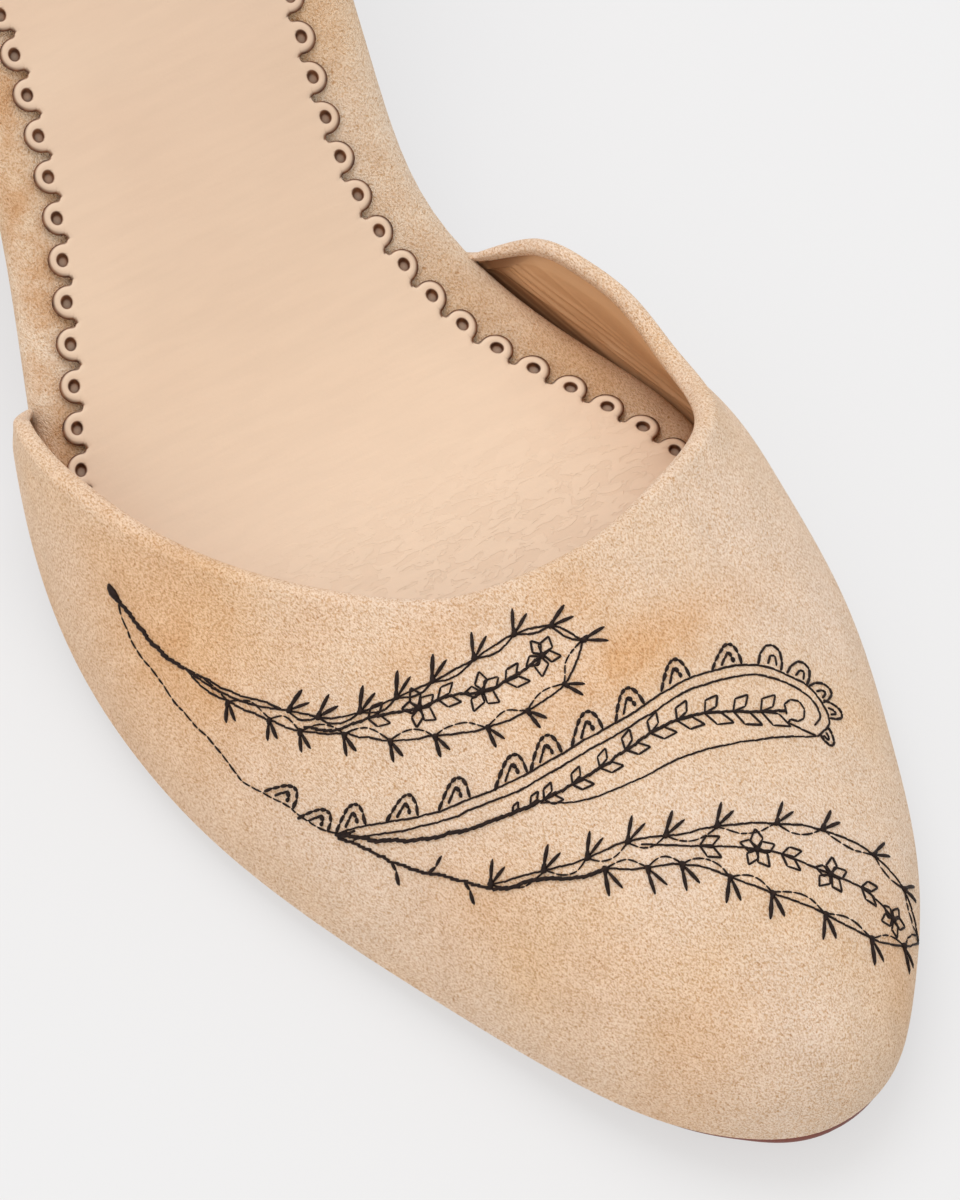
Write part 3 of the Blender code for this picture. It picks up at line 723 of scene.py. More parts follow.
def rolled_suede(name, face, normal, rim, length, suede):
    """The suede of an upper with its rolled topline.

    Its section runs up the outer face, round a half ellipse as thick as the
    rim, a little way down inside, and tucks back into the wall. The attribute
    "stroked" marks where the nap was stroked down.
    """
    up = unit(face[0] - face[1])
    inward = -unit(normal[0] - up * np.sum(normal[0] * up, axis=1, keepdims=True))
    half = (rim / 2.0)[:, None]
    centre = face[0] + inward * half
    turn = np.linspace(0.0, np.pi, 15)[1:, None, None]
    fold = centre - inward * half * np.cos(turn) + up * half * 0.9 * np.sin(turn)
    lip = np.minimum(1.5, 0.3 * length)[:, None]
    tuck = np.stack([centre + inward * half * a - up * lip * b
                     for a, b in ((0.97, 0.35), (0.80, 0.75), (0.45, 1.0), (0.0, 1.05))])
    back, back_normal = walk(face, np.linspace(0.16, 1.0, 16)[:, None] * length, normal)
    back = back - unit(back_normal) * np.minimum(1.0, 0.36 * rim)[:, None]
    section = np.concatenate([face[::-1], fold, tuck, back])
    return mesh_piece(name + "_suede", section.reshape(-1, 3), tube_faces(*section.shape[:2]), [suede],
                      tones={"stroked": stroked(section[..., :2]).ravel()})


def creased(along, from_foot, length):
    """How deep the lining's creases are: along each wandering line a bell-shaped dent about half a millimetre wide."""
    crease = np.zeros_like(from_foot)
    for step, (level, size) in enumerate(CREASES):
        line = level + 0.8 * wander(along, 34.0, step)
        crease += size * (0.75 + 0.25 * wander(along, 15.0, step + 5)) * np.exp(-((from_foot - line) / 0.32) ** 2)
    return crease * smoothstep((length - 6.0) / 6.0)


def crack_shade_amount(at, along, from_foot):
    """Painted shade on the lining beside the board: 1 in the crack, less on two wandering streaks in it, 0 above it.

    The crack is 0.4 mm high along the toe and opens to 3 mm towards the tips,
    whose own ends are dark too.
    """
    from_tip = np.minimum(at, 1.0 - at)
    crack = 0.4 + 2.6 * smoothstep((np.abs(at - 0.5) - 0.395) / 0.085)
    streak = sum(np.exp(-((from_foot - crack * part - 0.3 * wander(along, 22.0, 9)) / 0.2) ** 2)
                 for part in (0.45, 0.85))
    clear = smoothstep((from_foot - crack) / 0.9) * smoothstep(from_tip / TIP_ROUND - 0.4)
    return (1.0 - clear) * (1.0 - 0.4 * np.minimum(streak, 1.0))


def thin_lining(name, face, normal, rim, length, lining):
    """The lining of an upper: a thin sheet that starts inside the rolled topline.

    It follows the outer face down, set in by the wall, with shallow creases
    along the foot, and turns in under the board with a narrow margin. An
    attribute paints shade on it: the crack beside the board, its tips, the
    margin and its back are darkened.
    """
    count = face.shape[1]
    depth = np.linspace(0.0, 1.0, LINING_ROWS)[:, None] * (length - 0.35)
    front, front_normal = walk(face, depth + 0.3, normal)
    front_normal = unit(front_normal)
    along = travelled(face[-1])[None, :]
    from_foot = length - depth
    inset = 0.5 * rim + (WALL * 1.02 - 0.5 * rim) * smoothstep(depth / 3.5)
    front = front - front_normal * (inset + creased(along, from_foot, length) * 0.8)[..., None]
    rear, rear_normal = walk(face, depth[::-6] + 0.3, normal)
    rear = rear - unit(rear_normal) * 1.15
    under = unit(front_normal[-1] * (1.0, 1.0, 0.0))
    margin = np.stack([front[-1] - under * reach for reach in (0.5, 3.2, 3.2, 0.5)])
    margin[..., 2] = rise(margin[..., 1]) + SOLE_THICK + np.array([0.22, 0.20, 0.08, 0.08])[:, None]
    section = np.concatenate([front, margin, rear])
    across = np.concatenate([depth, np.repeat(depth[-1:], len(margin), axis=0) + 1.0, depth[::-6]])
    uv = np.stack([np.broadcast_to(along, across.shape), across], axis=-1)
    # painted shade: the margin and the back wholly dark, the front darkening into the crack beside the board
    painted_crack_shade = np.ones_like(across)
    painted_crack_shade[:len(depth)] = crack_shade_amount(stations(count), along, from_foot)
    section, uv, painted_crack_shade = (table[:, LINING_SHORT:-LINING_SHORT] for table in (section, uv, painted_crack_shade))
    return mesh_piece(name + "_lining", section.reshape(-1, 3), tube_faces(*section.shape[:2]), [lining],
                      uv=uv.reshape(-1, 2), tones={"painted_crack_shade": painted_crack_shade.ravel()})


def upper_pieces(name, ribs, tips, rim_tips, round_the_toe, count, steps, suede, lining):
    """An upper's suede and its lining, and the points and normals of its outer face.

    The rim is as thick as RIM along the topline and thins towards the tips.
    """
    at = stations(count)
    thin, reach = (np.where(at < 0.5, *pair) for pair in (rim_tips, TIP_THIN))
    rim = thin + (RIM - thin) * smoothstep(np.minimum(at, 1.0 - at) / reach)
    rim = rim * (0.3 + 0.7 * tip_round(count))
    face, normal = upper_surface(ribs, tips, round_the_toe, count, steps, rim)
    length = np.linalg.norm(np.diff(face, axis=0), axis=2).sum(axis=0)
    return (rolled_suede(name, face, normal, rim, length, suede),
            thin_lining(name, face, normal, rim, length, lining), face, normal)


# ---------------------------------------------------------------- the insole

def footbed_piece(suede):
    """The insole board in suede: rings that follow a rounded edge, then close in across the top.

    From the bottom the edge goes straight up, then round a quarter ellipse to
    the top; the top rises a little more towards the sock. On the big-toe side
    the padding swells out a little where the wing stands beside it. An
    attribute paints shade on the suede, darker and warmer towards its top by
    the sock, mostly on the little-toe side.
    """
    turns = np.linspace(0.02, np.pi - 0.02, BOARD_STEPS)

    def ring(inset, height):
        """The board's outline drawn in by `inset`, at a height above the board's underside."""
        swell = 1.25 * smoothstep((height - 0.9) / 2.0) * (1.0 - inset / 5.2)
        edge = outline(turns, lambda y, side: (swell * np.exp(-((y - 15.0) / 12.0) ** 2) if side == "medial"
                                               else 0.0 * y) - inset)
        return raised(edge, BOARD_LOW + height)

    rings = [ring(0.9, 0.0), ring(0.15, 0.35), ring(0.0, 0.9)]
    for angle in np.radians(np.linspace(0.0, 90.0, 12)[1:]):
        rings.append(ring(4.4 * (1.0 - np.cos(angle)), 0.9 + (BOARD_THICK - 0.9) * np.sin(angle)))
    rings.append(ring(5.2, BOARD_THICK + 0.04))
    level = np.linspace(0.0, 1.0, len(rings))[:, None]
    # painted shade: rising towards the board's top, strong on the little-toe side and weak on the big-toe side
    painted_edge_shade = np.hstack([np.repeat(tone, BOARD_STEPS, axis=1)
                         for tone in (smoothstep(0.25 + level), 0.3 * smoothstep(1.8 * level - 0.7))])
    return mesh_piece("footbed_suede", np.concatenate(rings), ladder_faces(len(rings), BOARD_STEPS), [suede],
                      sharp=60.0, tones={"painted_edge_shade": painted_edge_shade.ravel()})


def hole_line():
    """The closed line on which the sock's holes lie, dense, with its outward normals and its length so far.

    It starts at the toe, runs back along the little-toe side and forward along
    the big-toe side. Its length is measured on the sloping board.
    """
    turns = np.linspace(0.0, np.pi, 3000)
    place, outward = [], []
    for side, order in (("lateral", turns), ("medial", turns[::-1])):
        edge, out = board_side(order, side)
        inset = np.interp(edge[:, 1], BOARD["y"], BOARD["holes_" + side])
        place.append(edge - out * inset[:, None])
        outward.append(out)
    place = np.concatenate(place)
    return place, np.concatenate(outward), travelled(raised(place, 0.0))


def sock_height(y, inside):
    """Top of the sock: the board's slope plus the padding, which swells in from the edge."""
    return rise(y) + SOCK_TOP - 0.15 + 0.9 * smoothstep(inside / 11.0)


def scallop(side):
    """One scallop as rings of (along, out) points, from the floor of its punched hole to its own outline.

    Outwards the outline is a half circle that opens into a narrow round-ended
    notch on either side, half a pitch away; inwards it is a straight line
    shared with the sock's middle. Also given: how far the points lie outside
    the hole and inside the outer edge, how many rings line the hole, and the
    levels of the points down the outline's two sides.
    """
    half_notch = NOTCH_WIDTH / 2.0
    round_part = np.radians(np.linspace(-90.0, 90.0, 29))
    lobe = (side - half_notch) * np.stack([np.sin(round_part), np.cos(round_part)], axis=1) - (0.0, LOBE_SET)
    slit = np.array([(-0.99, -0.25), (-0.86, -0.50), (-0.56, -0.80), (0.0, -1.0)])
    slit = slit * (half_notch, NOTCH_DEPTH - LOBE_SET - 0.08) + (side, -LOBE_SET - 0.08)
    outer = np.concatenate([slit[::-1] * (-1.0, 1.0), lobe, slit])
    levels = np.append(np.array([-0.18, -0.42, -1.0, -1.7]) - NOTCH_DEPTH, -SOCK_INNER)
    down = np.stack([np.full(len(levels), side), levels], axis=1)
    base = np.stack([np.linspace(side, -side, 5)[1:-1], np.full(3, -SOCK_INNER)], axis=1)
    ring = np.concatenate([outer, down, base, down[::-1] * (-1.0, 1.0)])
    bearing = np.degrees(np.arctan2(ring[:, 0], ring[:, 1]))
    bearing = np.radians(np.interp(np.abs(bearing), (0.0, 90.0, 109.0, 180.0), (0.0, 96.0, 130.0, 180.0))
                         * np.sign(bearing))
    hole = np.stack([np.sin(bearing), np.cos(bearing)], axis=1) * (HOLE_ALONG, HOLE_ACROSS)
    share = np.array([0.0, 0.06, 0.14, 0.34, 0.64, 0.78, 0.89, 1.0])[:, None, None]
    pit = np.array([0.01, 0.55, 0.84, 0.93])[:, None, None] * hole
    local = np.concatenate([pit, hole * (1.0 - share) + ring * share])
    from_hole = np.linalg.norm(local, axis=2) - np.linalg.norm(hole, axis=1)
    cut = read_along(np.linspace(0.0, len(outer) - 1.0, 240), np.arange(len(outer)), outer)
    from_edge = np.linalg.norm(local[:, :, None] - cut, axis=-1).min(axis=2)
    return local, from_hole, from_edge, len(pit), levels


def sock_piece(leather, edge):
    """The sock as one sheet: punched scallops round the edge and a plain middle.

    The scallops stand in a row along the holes' line, their burnished edges
    widened by painted shadow on their toe and outer sides, and the sheet is
    plain round the toe. The middle's rungs join the two sides of the foot.
    """
    place, outward, gone = hole_line()
    total, heel = gone[-1], gone[len(gone) // 2]
    pitch = SCALLOP_PITCH
    first_y = place[:len(gone) // 2, 1]
    start = np.interp(SCALLOP_START_Y, first_y, gone[:len(gone) // 2])
    last = total - np.interp(SCALLOP_START_Y, place[::-1][:len(gone) // 2, 1], total - gone[::-1][:len(gone) // 2])
    first = np.ceil((start - SCALLOP_FIRST) / pitch + 0.5)
    count = int(np.floor((last - SCALLOP_FIRST) / pitch - 0.5) - first) + 1
    centres = SCALLOP_FIRST + pitch * (first + np.arange(count))
    side = pitch / 2.0

    def at(s, out):
        """Plan points at a length along the line and a distance outside it."""
        return np.stack([np.interp(s, gone, place[:, k]) + out * np.interp(s, gone, outward[:, k])
                         for k in range(2)], axis=-1)

    def top(s, out, lower):
        """The sock's top over such points, less how far it dips there."""
        flat = at(s, out)
        return np.concatenate([flat, (sock_height(flat[..., 1], SOCK_EDGE - out) - lower)[..., None]], axis=-1)

    local, from_hole, from_edge, pits, levels = scallop(side)
    lower = 0.10 * (1.0 - smoothstep(from_hole / 0.35)) + 0.20 * (1.0 - smoothstep(from_edge / 0.50))
    lower[:pits] = np.array([0.62, 0.60, 0.56, 0.38])[:, None]
    # painted shadow: 1 on each scallop's toe and outer sides, where shade falls, and -1 opposite
    toeward = np.where(centres < heel, -0.6, 0.6)[:, None, None] * local[None, ..., 0]
    shadow_side = np.clip((toeward + 0.7 * local[None, ..., 1]) / side, -1.0, 1.0)
    burn_and_painted_shade = np.maximum(1.0 - smoothstep((from_hole - 0.04) / 0.14),
                       1.0 - smoothstep((from_edge - 0.13 - 0.07 * shadow_side) / (0.20 + 0.10 * shadow_side)))
    # a paler band of painted shadow beyond the burnished edge on the shaded sides
    burn_and_painted_shade = np.maximum(burn_and_painted_shade, 0.42 * shadow_side * (1.0 - smoothstep((from_edge - 0.42) / 0.14)))
    # painted shade: the hole's floor, which stands for the board seen through it, is darkened, and its wall is the
    # burnished edge in shade
    burn_and_painted_shade[:, :pits] = np.array([0.62, 0.74, 1.0, 1.0])[:, None]
    s = centres[:, None, None] + local[None, ..., 0]
    out = np.broadcast_to(local[None, ..., 1], s.shape)
    cells = top(s, out, np.broadcast_to(lower[None], s.shape)).reshape(-1, 3)
    rings, corners = local.shape[:2]
    per_cell = grid_faces(rings, corners, close_columns=True)
    points = [cells]
    faces = [(per_cell[None] + (np.arange(count) * rings * corners)[:, None, None]).reshape(-1, 4)]

    # places on the inner line: shared by scallops, and plain round the toe
    half = count / 2.0
    steps = np.linspace(0.0, half, int(half * 4) + 1)
    lateral = centres[0] - side + steps * pitch
    medial = centres[-1] + side - steps * pitch
    toe_share = np.linspace(0.0, 1.0, 26)[:-1]
    toe_lateral = toe_share * lateral[0]
    toe_medial = total - toe_share * (total - medial[0])
    s_lateral = np.concatenate([toe_lateral, lateral])
    s_medial = np.concatenate([toe_medial, medial])
    left, right = at(s_lateral, -SOCK_INNER), at(s_medial, -SOCK_INNER)
    width = np.linalg.norm(left - right, axis=1)
    q = (0.5 - 0.5 * np.cos(np.linspace(0.0, np.pi, 25)))[:, None]
    flat = left[None] * (1.0 - q[..., None]) + right[None] * q[..., None]
    inside = SOCK_INNER + SOCK_EDGE + np.minimum(q, 1.0 - q) * width[None]
    middle = np.concatenate([flat, sock_height(flat[..., 1], inside)[..., None]], axis=-1)
    offset = len(cells)
    points.append(middle.reshape(-1, 3))
    faces.append(grid_faces(len(q), len(s_lateral)) + offset)
    offset += middle.shape[0] * middle.shape[1]
    outs = np.concatenate([levels[::-1], [-NOTCH_DEPTH, 0.4, 1.6]])
    for round_toe in (np.append(toe_lateral, lateral[0]), np.append(toe_medial, medial[0])):
        grid_s, grid_out = np.meshgrid(round_toe, outs)
        points.append(top(grid_s, grid_out, np.zeros_like(grid_s)).reshape(-1, 3))
        faces.append(grid_faces(len(outs), len(round_toe)) + offset)
        offset += grid_s.size
    burn_and_painted_shade = np.concatenate([burn_and_painted_shade.ravel(), np.zeros(offset - len(cells))])
    sheet = mesh_piece("sock_leather", np.concatenate(points), np.concatenate(faces).tolist(), [leather, edge],
                       merge=0.02, closed=False, sharp=50.0, tones={"burn_and_painted_shade": burn_and_painted_shade})
    work = bmesh.new()
    work.from_mesh(sheet.data)
    bmesh.ops.recalc_face_normals(work, faces=work.faces)
    work.normal_update()
    if sum(face.normal.z for face in work.faces) < 0.0:
        bmesh.ops.reverse_faces(work, faces=work.faces)
    work.to_mesh(sheet.data)
    work.free()
    thick = sheet.modifiers.new("thickness", "SOLIDIFY")
    thick.thickness = (SOCK_THICK - 0.1) * MM
    thick.offset = -1.0
    thick.material_offset_rim = 1
    return sheet


# ---------------------------------------------------------------- bottom parts

def outsole_piece(leather):
    """The leather outsole: bevelled under, straight edge, and a hollow waist."""
    turns = np.linspace(0.02, float(turn_of(HEEL_BREAST_Y - GAP)), SOLE_STEPS)

    def edge(y):
        """How far the sole stands outside the board: out under the vamp and the toe, in at the waist."""
        under_vamp = 0.8 * smoothstep((50.0 - y) / 20.0) + 0.62 * smoothstep((-50.0 - y) / 20.0)
        under_vamp = under_vamp + 0.42 * smoothstep((TOE_Y + 4.5 - y) / 4.5)
        waist = -1.6 * smoothstep((y - 40.0) / 20.0) * smoothstep((108.0 - y) / 20.0)
        return under_vamp + waist

    rings = []
    for inset, height in ((3.0, 0.0), (1.4, 0.02), (0.7, 0.12), (0.25, 0.4), (0.05, 0.8), (0.0, 1.3),
                          (0.0, SOLE_THICK - 0.5), (0.1, SOLE_THICK - 0.2), (0.4, SOLE_THICK)):
        rings.append(raised(outline(turns, lambda y, side, k=inset: edge(y) - k), height))
    return mesh_piece("outsole_leather", np.concatenate(rings), ladder_faces(len(rings), SOLE_STEPS), [leather],
                      sharp=60.0)


def heel_outline(blend):
    """Plan ring of the heel: the seat at blend 1, and at blend 0 its small foot, a squared-off half oval."""
    turns = np.linspace(float(turn_of(HEEL_BREAST_Y)), np.pi - 0.04, HEEL_STEPS)
    seat = outline(turns, 1.2)
    part = np.linspace(0.0, 1.0, HEEL_STEPS)
    quarter = part * np.pi / 2.0 * 0.97
    along = HEEL_FOOT_FRONT + (HEEL_FOOT_BACK - HEEL_FOOT_FRONT) * np.sin(quarter) ** 1.1
    across = HEEL_FOOT_WIDTH / 2.0 * np.cos(quarter) ** 0.55 * (0.86 + 0.14 * np.sin(part * np.pi))
    medial = np.stack([HEEL_X + across, along], axis=1)
    lateral = np.stack([HEEL_X - across, along], axis=1)
    foot = np.concatenate([lateral[::-1], medial])
    return foot * (1.0 - blend) + seat * blend


def heel_piece(suede):
    """The covered heel: rings from foot to seat, the sides flaring late and the back flaring sooner."""
    low = TOP_PIECE_THICK + GAP
    rings = []
    for s in np.linspace(0.0, 1.0, HEEL_RINGS):
        side = heel_outline(0.10 * s + 0.90 * s ** 2.6)
        back = heel_outline(0.45 * s + 0.55 * s ** 2.0)
        rear = smoothstep((side[:, 1] - HEEL_FOOT_FRONT) / 18.0)
        ring = np.stack([side[:, 0], side[:, 1] * (1.0 - rear) + back[:, 1] * rear], axis=1)
        top = rise(ring[:, 1]) + SOLE_THICK
        rings.append(np.column_stack([ring, low + (top - low) * s]))
    return mesh_piece("heel_cover", np.concatenate(rings), ladder_faces(HEEL_RINGS, HEEL_STEPS), [suede], sharp=50.0)


def top_piece(rubber):
    """The top piece: the heel's foot carried down, its two edges eased."""
    foot = heel_outline(0.0)
    middle = foot.mean(axis=0)
    rings = []
    for height, shrink in ((0.0, 0.5), (0.15, 0.2), (0.5, 0.0), (TOP_PIECE_THICK - 0.4, 0.0),
                           (TOP_PIECE_THICK - 0.1, 0.15), (TOP_PIECE_THICK, 0.45)):
        ring = foot - unit(foot - middle) * shrink
        rings.append(np.column_stack([ring, np.full(len(ring), height)]))
    return mesh_piece("top_piece_rubber", np.concatenate(rings), ladder_faces(len(rings), HEEL_STEPS), [rubber],
                      sharp=50.0)


# ---------------------------------------------------------------- embroidery

def pressed(plan):
    """Points of the vamp's outer face over plan points, and its normals there.

    The nearest point of the face's grid is found first; a step along the
    grid's two directions there then brings it under the plan point.
    """
    face, normal = VAMP_FACE, VAMP_NORMAL
    down, across = np.gradient(face, axis=0).reshape(-1, 3), np.gradient(face, axis=1).reshape(-1, 3)
    upward = np.flatnonzero(normal[..., 2].ravel() > 0.05)
    spots, tilts = face.reshape(-1, 3), normal.reshape(-1, 3)
    nearest = np.concatenate([upward[np.argmin(
        ((part[:, None] - spots[None, upward, :2]) ** 2).sum(axis=2), axis=1)]
        for part in np.array_split(plan, len(plan) // 200 + 1)])
    a, b, start = down[nearest], across[nearest], spots[nearest]
    miss = plan - start[:, :2]
    area = a[:, 0] * b[:, 1] - a[:, 1] * b[:, 0]
    p = (miss[:, 0] * b[:, 1] - miss[:, 1] * b[:, 0]) / area
    q = (a[:, 0] * miss[:, 1] - a[:, 1] * miss[:, 0]) / area
    return start + a * p[:, None] + b * q[:, None], unit(tilts[nearest])


def stem(*knots):
    """A drawn line through plan points: dense plan points, where they lie, their normals and the length so far."""
    knots = np.array(knots, dtype=float)
    chord = travelled(knots)
    at = np.linspace(0.0, chord[-1], max(int(chord[-1] / 0.2), 4))
    plan = np.stack([spline(chord, knots[:, k], at) for k in range(2)], axis=1)
    spots, tilts = pressed(plan)
    return plan, spots, tilts, travelled(spots)


def nearest_on(line, point):
    """The length along a drawn line at which it passes closest to a plan point."""
    plan, _, _, gone = line
    return gone[np.argmin(((plan - np.array(point)) ** 2).sum(axis=1))]


def local_frame(line, at):
    """A place on a drawn line, the direction along it and the direction to its left on the leather."""
    _, spots, tilts, gone = line
    place, tilt = read_along(at, gone, spots), read_along(at, gone, tilts)
    ahead = read_along(at + 0.6, gone, spots) - read_along(at - 0.6, gone, spots)
    ahead = unit(ahead - tilt * np.dot(ahead, tilt) / np.dot(tilt, tilt))
    return place, ahead, unit(np.cross(tilt, ahead))


def motif(line, at, strokes, side=1.0, size=1.0, turn=0.0):
    """A motif set on a drawn line: a stitch from point to point of each stroke, along and out from the line."""
    place, ahead, left = local_frame(line, at)
    cosine, sine = np.cos(np.radians(turn)), np.sin(np.radians(turn))
    laid = []
    for width, points in strokes:
        along, out = np.array(points, dtype=float).T * size
        along, out = along * cosine - out * sine, (along * sine + out * cosine) * side
        plan = (place + along[:, None] * ahead + out[:, None] * left)[:, :2]
        laid += [(width, plan[k:k + 2]) for k in range(len(plan) - 1)]
    return laid


def beside(line, first, last, bulge):
    """A stretch of a drawn line, bowed aside by `bulge` at its middle."""
    at = np.linspace(first, last, max(int((last - first) / 0.4), 4))
    share = (at - first) / (last - first)
    return np.array([(spot + left * bulge * np.sin(np.pi * part))[:2]
                     for part, (spot, _, left) in zip(share, (local_frame(line, s) for s in at))])


def parallel(line, first, last, aside):
    """A stretch of a drawn line moved aside."""
    return np.array([(spot + left * aside)[:2]
                     for spot, _, left in (local_frame(line, s) for s in np.linspace(first, last, 40))])


def sewn(name, strokes, thread, seed):
    """A spray of embroidery as one mesh of short stitches.

    Each stroke is a line of plan points, cut into stitches of about STITCH,
    each a little off the line at its needle holes. Thicker lines have shorter
    stitches that run slantwise over each other, like a rope. A stitch is a
    flattened tube of five six-sided rings that swells in its middle and dives
    into the leather at both ends. A stroke of two points is one stitch, with
    a fatter belly where it is wide, as a leaf is.
    """
    random = np.random.default_rng(seed)
    centres, radii = [], []
    across_share = np.array([0.0, 0.15, 0.5, 0.85, 1.0])
    for width, plan in strokes:
        gone = travelled(plan)
        pace = STITCH if width < MEDIUM else ROPE_STITCH
        count = 1 if len(plan) == 2 else max(int(round(gone[-1] / pace)), 1)
        fine = np.linspace(0.0, gone[-1], max(int(gone[-1] / 0.15), 3))
        plan = read_along(fine, gone, plan)
        holes = np.linspace(0.0, gone[-1], count + 1)
        holes[1:-1] += random.uniform(-NEEDLE_STRAY, NEEDLE_STRAY, count - 1) * pace
        overlap = (0.16 if width >= MEDIUM else 0.07 if width > THIN else 0.0) * (count > 1)
        at = holes[:-1, None] - overlap + (np.diff(holes)[:, None] + 2.0 * overlap) * across_share
        sway = random.normal(0.0, STITCH_SWAY, count + 1) * (1.0 if count > 1 else 0.3)
        sway = sway[:-1, None] * (1.0 - across_share) + sway[1:, None] * across_share
        sway = sway + (across_share - 0.5) * overlap * 0.9
        ahead = unit(np.stack([np.gradient(plan[:, k]) for k in range(2)], axis=1))
        aside = ahead[:, ::-1] * (-1.0, 1.0)
        centres.append(read_along(at, fine, plan) + read_along(at, fine, aside) * sway[..., None])
        belly = (0.45, 0.85, 1.25, 0.95, 0.40) if count == 1 and width > MEDIUM else (0.70, 0.97, 1.0, 0.97, 0.70)
        belly = (0.30, 0.95, 1.20, 0.95, 0.30) if width == THIN else belly
        plump = random.uniform(0.88, 1.12, count)[:, None]
        radii.append(0.5 * width * plump * np.array(belly))
    centres, radii = np.concatenate(centres), np.concatenate(radii)
    spots, tilts = pressed(centres.reshape(-1, 2))
    spots, tilts = spots.reshape(*radii.shape, 3), tilts.reshape(*radii.shape, 3)
    spots = spots + tilts * (radii * 0.45 - np.array([0.07, 0.0, 0.0, 0.0, 0.07]))[..., None]
    ahead = unit(np.gradient(spots, axis=1))
    aside = unit(np.cross(tilts, ahead))
    turn = np.radians(np.arange(6) * 60.0 + 30.0)
    ring = (aside[:, :, None] * np.cos(turn)[:, None] + 0.8 * tilts[:, :, None] * np.sin(turn)[:, None])
    points = spots[:, :, None] + ring * radii[..., None, None]
    number = len(points)
    tube = grid_faces(5, 6, close_columns=True)
    walls = (tube[None] + np.arange(number)[:, None, None] * 30).reshape(-1, 4)
    ends = np.stack([np.arange(6)[::-1], np.arange(6) + 24])
    caps = (ends[None] + np.arange(number)[:, None, None] * 30).reshape(-1, 6)
    return mesh_piece(name, points.reshape(-1, 3), [*walls.tolist(), *caps.tolist()], [thread], sharp=70.0)


def border(knots, places, side, bulge, size=1.0, second=FINE, turn=0.0):
    """A spray's border: the line through the knots, a second line bowed in between its sprigs, and the sprigs.

    `side` is 1 where the sprigs stand to the line's left and -1 to its right.
    The second line bows in by `bulge` and has the thread width `second`, and
    the sprigs are turned by `turn` degrees.
    """
    line = stem(*knots)
    stops = np.sort([nearest_on(line, place) for place in places])
    strokes = [(FINE, line[0])]
    ends = [0.0, *stops, line[3][-1]]
    for first, last in zip(ends[:-1], ends[1:]):
        if last - first > 1.0:
            strokes.append((second, beside(line, first, last, -bulge * side)))
    for stop in stops:
        strokes += motif(line, stop, SPRIG, side, size, turn)
    return strokes


def vine(knots, first_leaf, width=MEDIUM):
    """A spray's vine: a line of the given thread width through the knots.

    From the knot `first_leaf` on, pairs of open leaves and five-petalled
    flowers take turns at its knots.
    """
    line = stem(*knots)
    strokes = [(width, line[0])]
    for k, place in enumerate(knots[first_leaf + 1::2]):
        at = nearest_on(line, place)
        for petal in range(5):
            strokes += motif(line, at, PETAL, turn=72.0 * petal + 20.0 + 9.0 * np.sin(3.0 * petal + k),
                             size=1.0 + 0.08 * np.sin(2.0 * petal + k))
        strokes += motif(line, at, FLOWER_HEART)
    for place in knots[first_leaf::2]:
        at = nearest_on(line, place)
        strokes += motif(line, at - 1.0, OPEN_LEAF) + motif(line, at - 1.0, OPEN_LEAF, -1.0, 1.06)
    return strokes


def upper_spray(thread):
    """The spray nearest the throat: a thick stem that opens into two bordered sides, with a vine between them."""
    stalk = stem((-38.3, 15.5), (-37.8, 11.5), (-37.0, 7.0), (-36.0, 4.0))
    upper = ((-36.0, 4.0), (-34.7, 1.0), (-32.5, -3.5), (-29.5, -8.5), (-26.5, -12.5), (-20.0, -16.0),
             (-11.0, -18.0), (-6.0, -18.0), (-2.0, -19.0), (0.5, -22.0))
    lower = ((-36.0, 4.0), (-35.4, 1.0), (-34.0, -2.5), (-31.5, -7.5), (-29.5, -11.0), (-26.0, -15.0),
             (-22.5, -19.0), (-18.5, -22.0), (-13.5, -25.0), (-9.0, -26.0), (-4.0, -25.5), (0.5, -22.0))
    middle = ((-29.0, -11.0), (-27.0, -13.5), (-22.5, -16.0), (-18.5, -18.5), (-15.5, -19.5), (-12.0, -21.5),
              (-8.5, -22.0), (-4.5, -21.5))
    strokes = [(0.50, stalk[0]), (0.75, np.array([(-38.4, 17.3), (-38.2, 15.1)]))]
    sprigs = ((-29.5, -8.5), (-27.5, -11.5), (-23.5, -14.0), (-20.0, -16.0), (-16.0, -17.0), *upper[-4:])
    strokes += border(upper, sprigs, 1.0, 0.7)
    strokes += border(lower, lower[2:-1], -1.0, 1.05, 0.80, THIN, 16.0)
    strokes += vine(middle, 2)
    return sewn("spray_upper", strokes, thread, 11)


